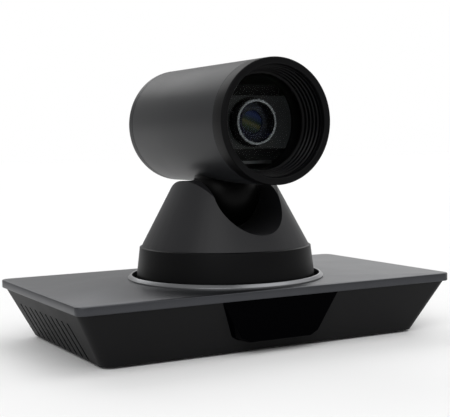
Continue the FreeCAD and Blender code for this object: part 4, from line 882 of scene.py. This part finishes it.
class PTZ_OT_cap_screws(bpy.types.Operator):
    """Pan-headed screws that hold the rear cap, each with a cross recess"""
    bl_idname = "ptz.cap_screws"
    bl_label = "Cap screws"

    def execute(self, context):
        low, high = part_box("cap_screws")
        steel = plated_steel()
        radius, centre = SCREW_RADIUS, barrel_centre()
        offset = (high.x - low.x) / 2 - radius
        spots = [(x, centre[1] + z) for x in (-offset, offset) for z in (-offset, offset)]
        for index, spot in enumerate(spots):
            outline = rounded([(high.y, 0.0), (high.y, radius, 0.5 * MM), (low.y, radius), (low.y, 0.0)])
            head = lathe(f"cap_screw_{index + 1}", outline, "Y", spot, segments=48)
            cross = [prism("slot", [(-a, -b), (a, -b), (a, b), (-a, b)], "Y",
                           (high.y - SLOT_DEPTH, high.y + MM), spot)
                     for a, b in ((SLOT_HALF, SLOT_THIN), (SLOT_THIN, SLOT_HALF))]
            carve(head, cross)
            place_piece(head, "head", steel, "steel", *(["cap_screws"] if index == 0 else []))
        return {"FINISHED"}


# Far softboxes: name, azimuth and elevation in degrees (0 is straight ahead of the lens), strength in W/m2
# and apparent width in degrees.
SOFTBOXES = (
    ("front_left", -45, 38, 0.96, 36),
    ("back_right", 135, 38, 0.42, 36),
    ("back", 180, 38, 0.55, 36),
    ("high_right", 60, 64, 0.44, 36),
    ("low_back_right", 135, 12, 0.14, 36),
    ("front", 0, 38, 0.34, 36),
    ("right", 90, 38, 0.2, 36),
)


def direction(azimuth, elevation):
    """The unit vector towards this azimuth and elevation, seen from the object."""
    return Vector((math.sin(azimuth) * math.cos(elevation), -math.cos(azimuth) * math.cos(elevation),
                   math.sin(elevation)))


class PTZ_OT_stage(bpy.types.Operator):
    """Pale floor, soft studio light and the view"""
    bl_idname = "ptz.stage"
    bl_label = "Stage"

    def execute(self, context):
        self.floor(context)
        self.lights(context)
        self.world(context)
        self.camera(context)
        context.scene.view_settings.view_transform = "Standard"
        return {"FINISHED"}

    def floor(self, context):
        """A flat floor under the feet."""
        bm = bmesh.new()
        bmesh.ops.create_grid(bm, x_segments=FLOOR_CELLS, y_segments=FLOOR_CELLS, size=FLOOR_HALF)
        floor = to_object("floor", bm)
        floor.data.materials.append(pale_floor(context.scene.ptz_colours.floor))

    def lights(self, context):
        """The softboxes, far enough away to be suns."""
        for name, azimuth, elevation, strength, spread in SOFTBOXES:
            sun = bpy.data.lights.new(name, "SUN")
            sun.energy, sun.angle = strength, math.radians(spread)
            obj = bpy.data.objects.new(name, sun)
            obj.rotation_euler = direction(math.radians(azimuth), math.radians(elevation)).to_track_quat(
                "Z", "Y").to_euler()
            context.scene.collection.objects.link(obj)

    def world(self, context):
        """Even light from all round, with a paler backdrop where the view sees past the floor."""
        world = bpy.data.worlds.new("studio")
        world.use_nodes = True
        nodes, links = world.node_tree.nodes, world.node_tree.links
        nodes.clear()
        room, backdrop = (nodes.new("ShaderNodeBackground") for _ in range(2))
        for node, strength in ((room, ROOM_LIGHT), (backdrop, BACKDROP)):
            node.inputs["Color"].default_value, node.inputs["Strength"].default_value = (1, 1, 1, 1), strength
        seen = nodes.new("ShaderNodeLightPath")
        mix = nodes.new("ShaderNodeMixShader")
        links.new(seen.outputs["Is Camera Ray"], mix.inputs[0])
        links.new(room.outputs[0], mix.inputs[1])
        links.new(backdrop.outputs[0], mix.inputs[2])
        links.new(mix.outputs[0], nodes.new("ShaderNodeOutputWorld").inputs["Surface"])
        context.scene.world = world

    def camera(self, context):
        """The view, from the place in the view settings towards the aim point."""
        view = context.scene.ptz_view
        lens = bpy.data.cameras.new("view")
        lens.lens, lens.sensor_width = view.lens, SENSOR_WIDTH
        lens.shift_x, lens.shift_y = SHIFT_X, SHIFT_Y
        camera = bpy.data.objects.new("view", lens)
        away = direction(view.azimuth, view.elevation)
        camera.location = Vector((view.aim_x, 0.0, view.aim_z)) + view.distance * away
        turn = (-away).to_track_quat("-Z", "Y").to_matrix() @ Matrix.Rotation(view.roll, 3, "Z")
        camera.rotation_euler = turn.to_euler()
        context.scene.collection.objects.link(camera)
        context.scene.camera = camera


class PTZ_PT_panel(bpy.types.Panel):
    """Lists the steps that dress the camera"""
    bl_idname = "PTZ_PT_panel"
    bl_label = "PTZ camera"
    bl_space_type = "VIEW_3D"
    bl_region_type = "UI"
    bl_category = "PTZ camera"

    def draw(self, context):
        for step in STEPS:
            self.layout.operator(step.bl_idname)
        for group in (context.scene.ptz_sizes, context.scene.ptz_colours, context.scene.ptz_view):
            box = self.layout.box()
            for name in group.__annotations__:
                box.prop(group, name)


STEPS = (PTZ_OT_base, PTZ_OT_top_plate, PTZ_OT_sockets, PTZ_OT_casing, PTZ_OT_barrel, PTZ_OT_hood,
         PTZ_OT_lens, PTZ_OT_cap_screws, PTZ_OT_works, PTZ_OT_stage)
CLASSES = (CameraSizes, CameraColours, CameraView) + STEPS + (PTZ_PT_panel,)


def register():
    for cls in CLASSES:
        bpy.utils.register_class(cls)
    bpy.types.Scene.ptz_sizes = bpy.props.PointerProperty(type=CameraSizes)
    bpy.types.Scene.ptz_colours = bpy.props.PointerProperty(type=CameraColours)
    bpy.types.Scene.ptz_view = bpy.props.PointerProperty(type=CameraView)


def unregister():
    for name in ("ptz_sizes", "ptz_colours", "ptz_view"):
        delattr(bpy.types.Scene, name)
    for cls in reversed(CLASSES):
        bpy.utils.unregister_class(cls)


def main():
    """Registers the add-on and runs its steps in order."""
    register()
    for step in STEPS:
        group, name = step.bl_idname.split(".")
        getattr(getattr(bpy.ops, group), name)()


if __name__ == "__main__":
    main()
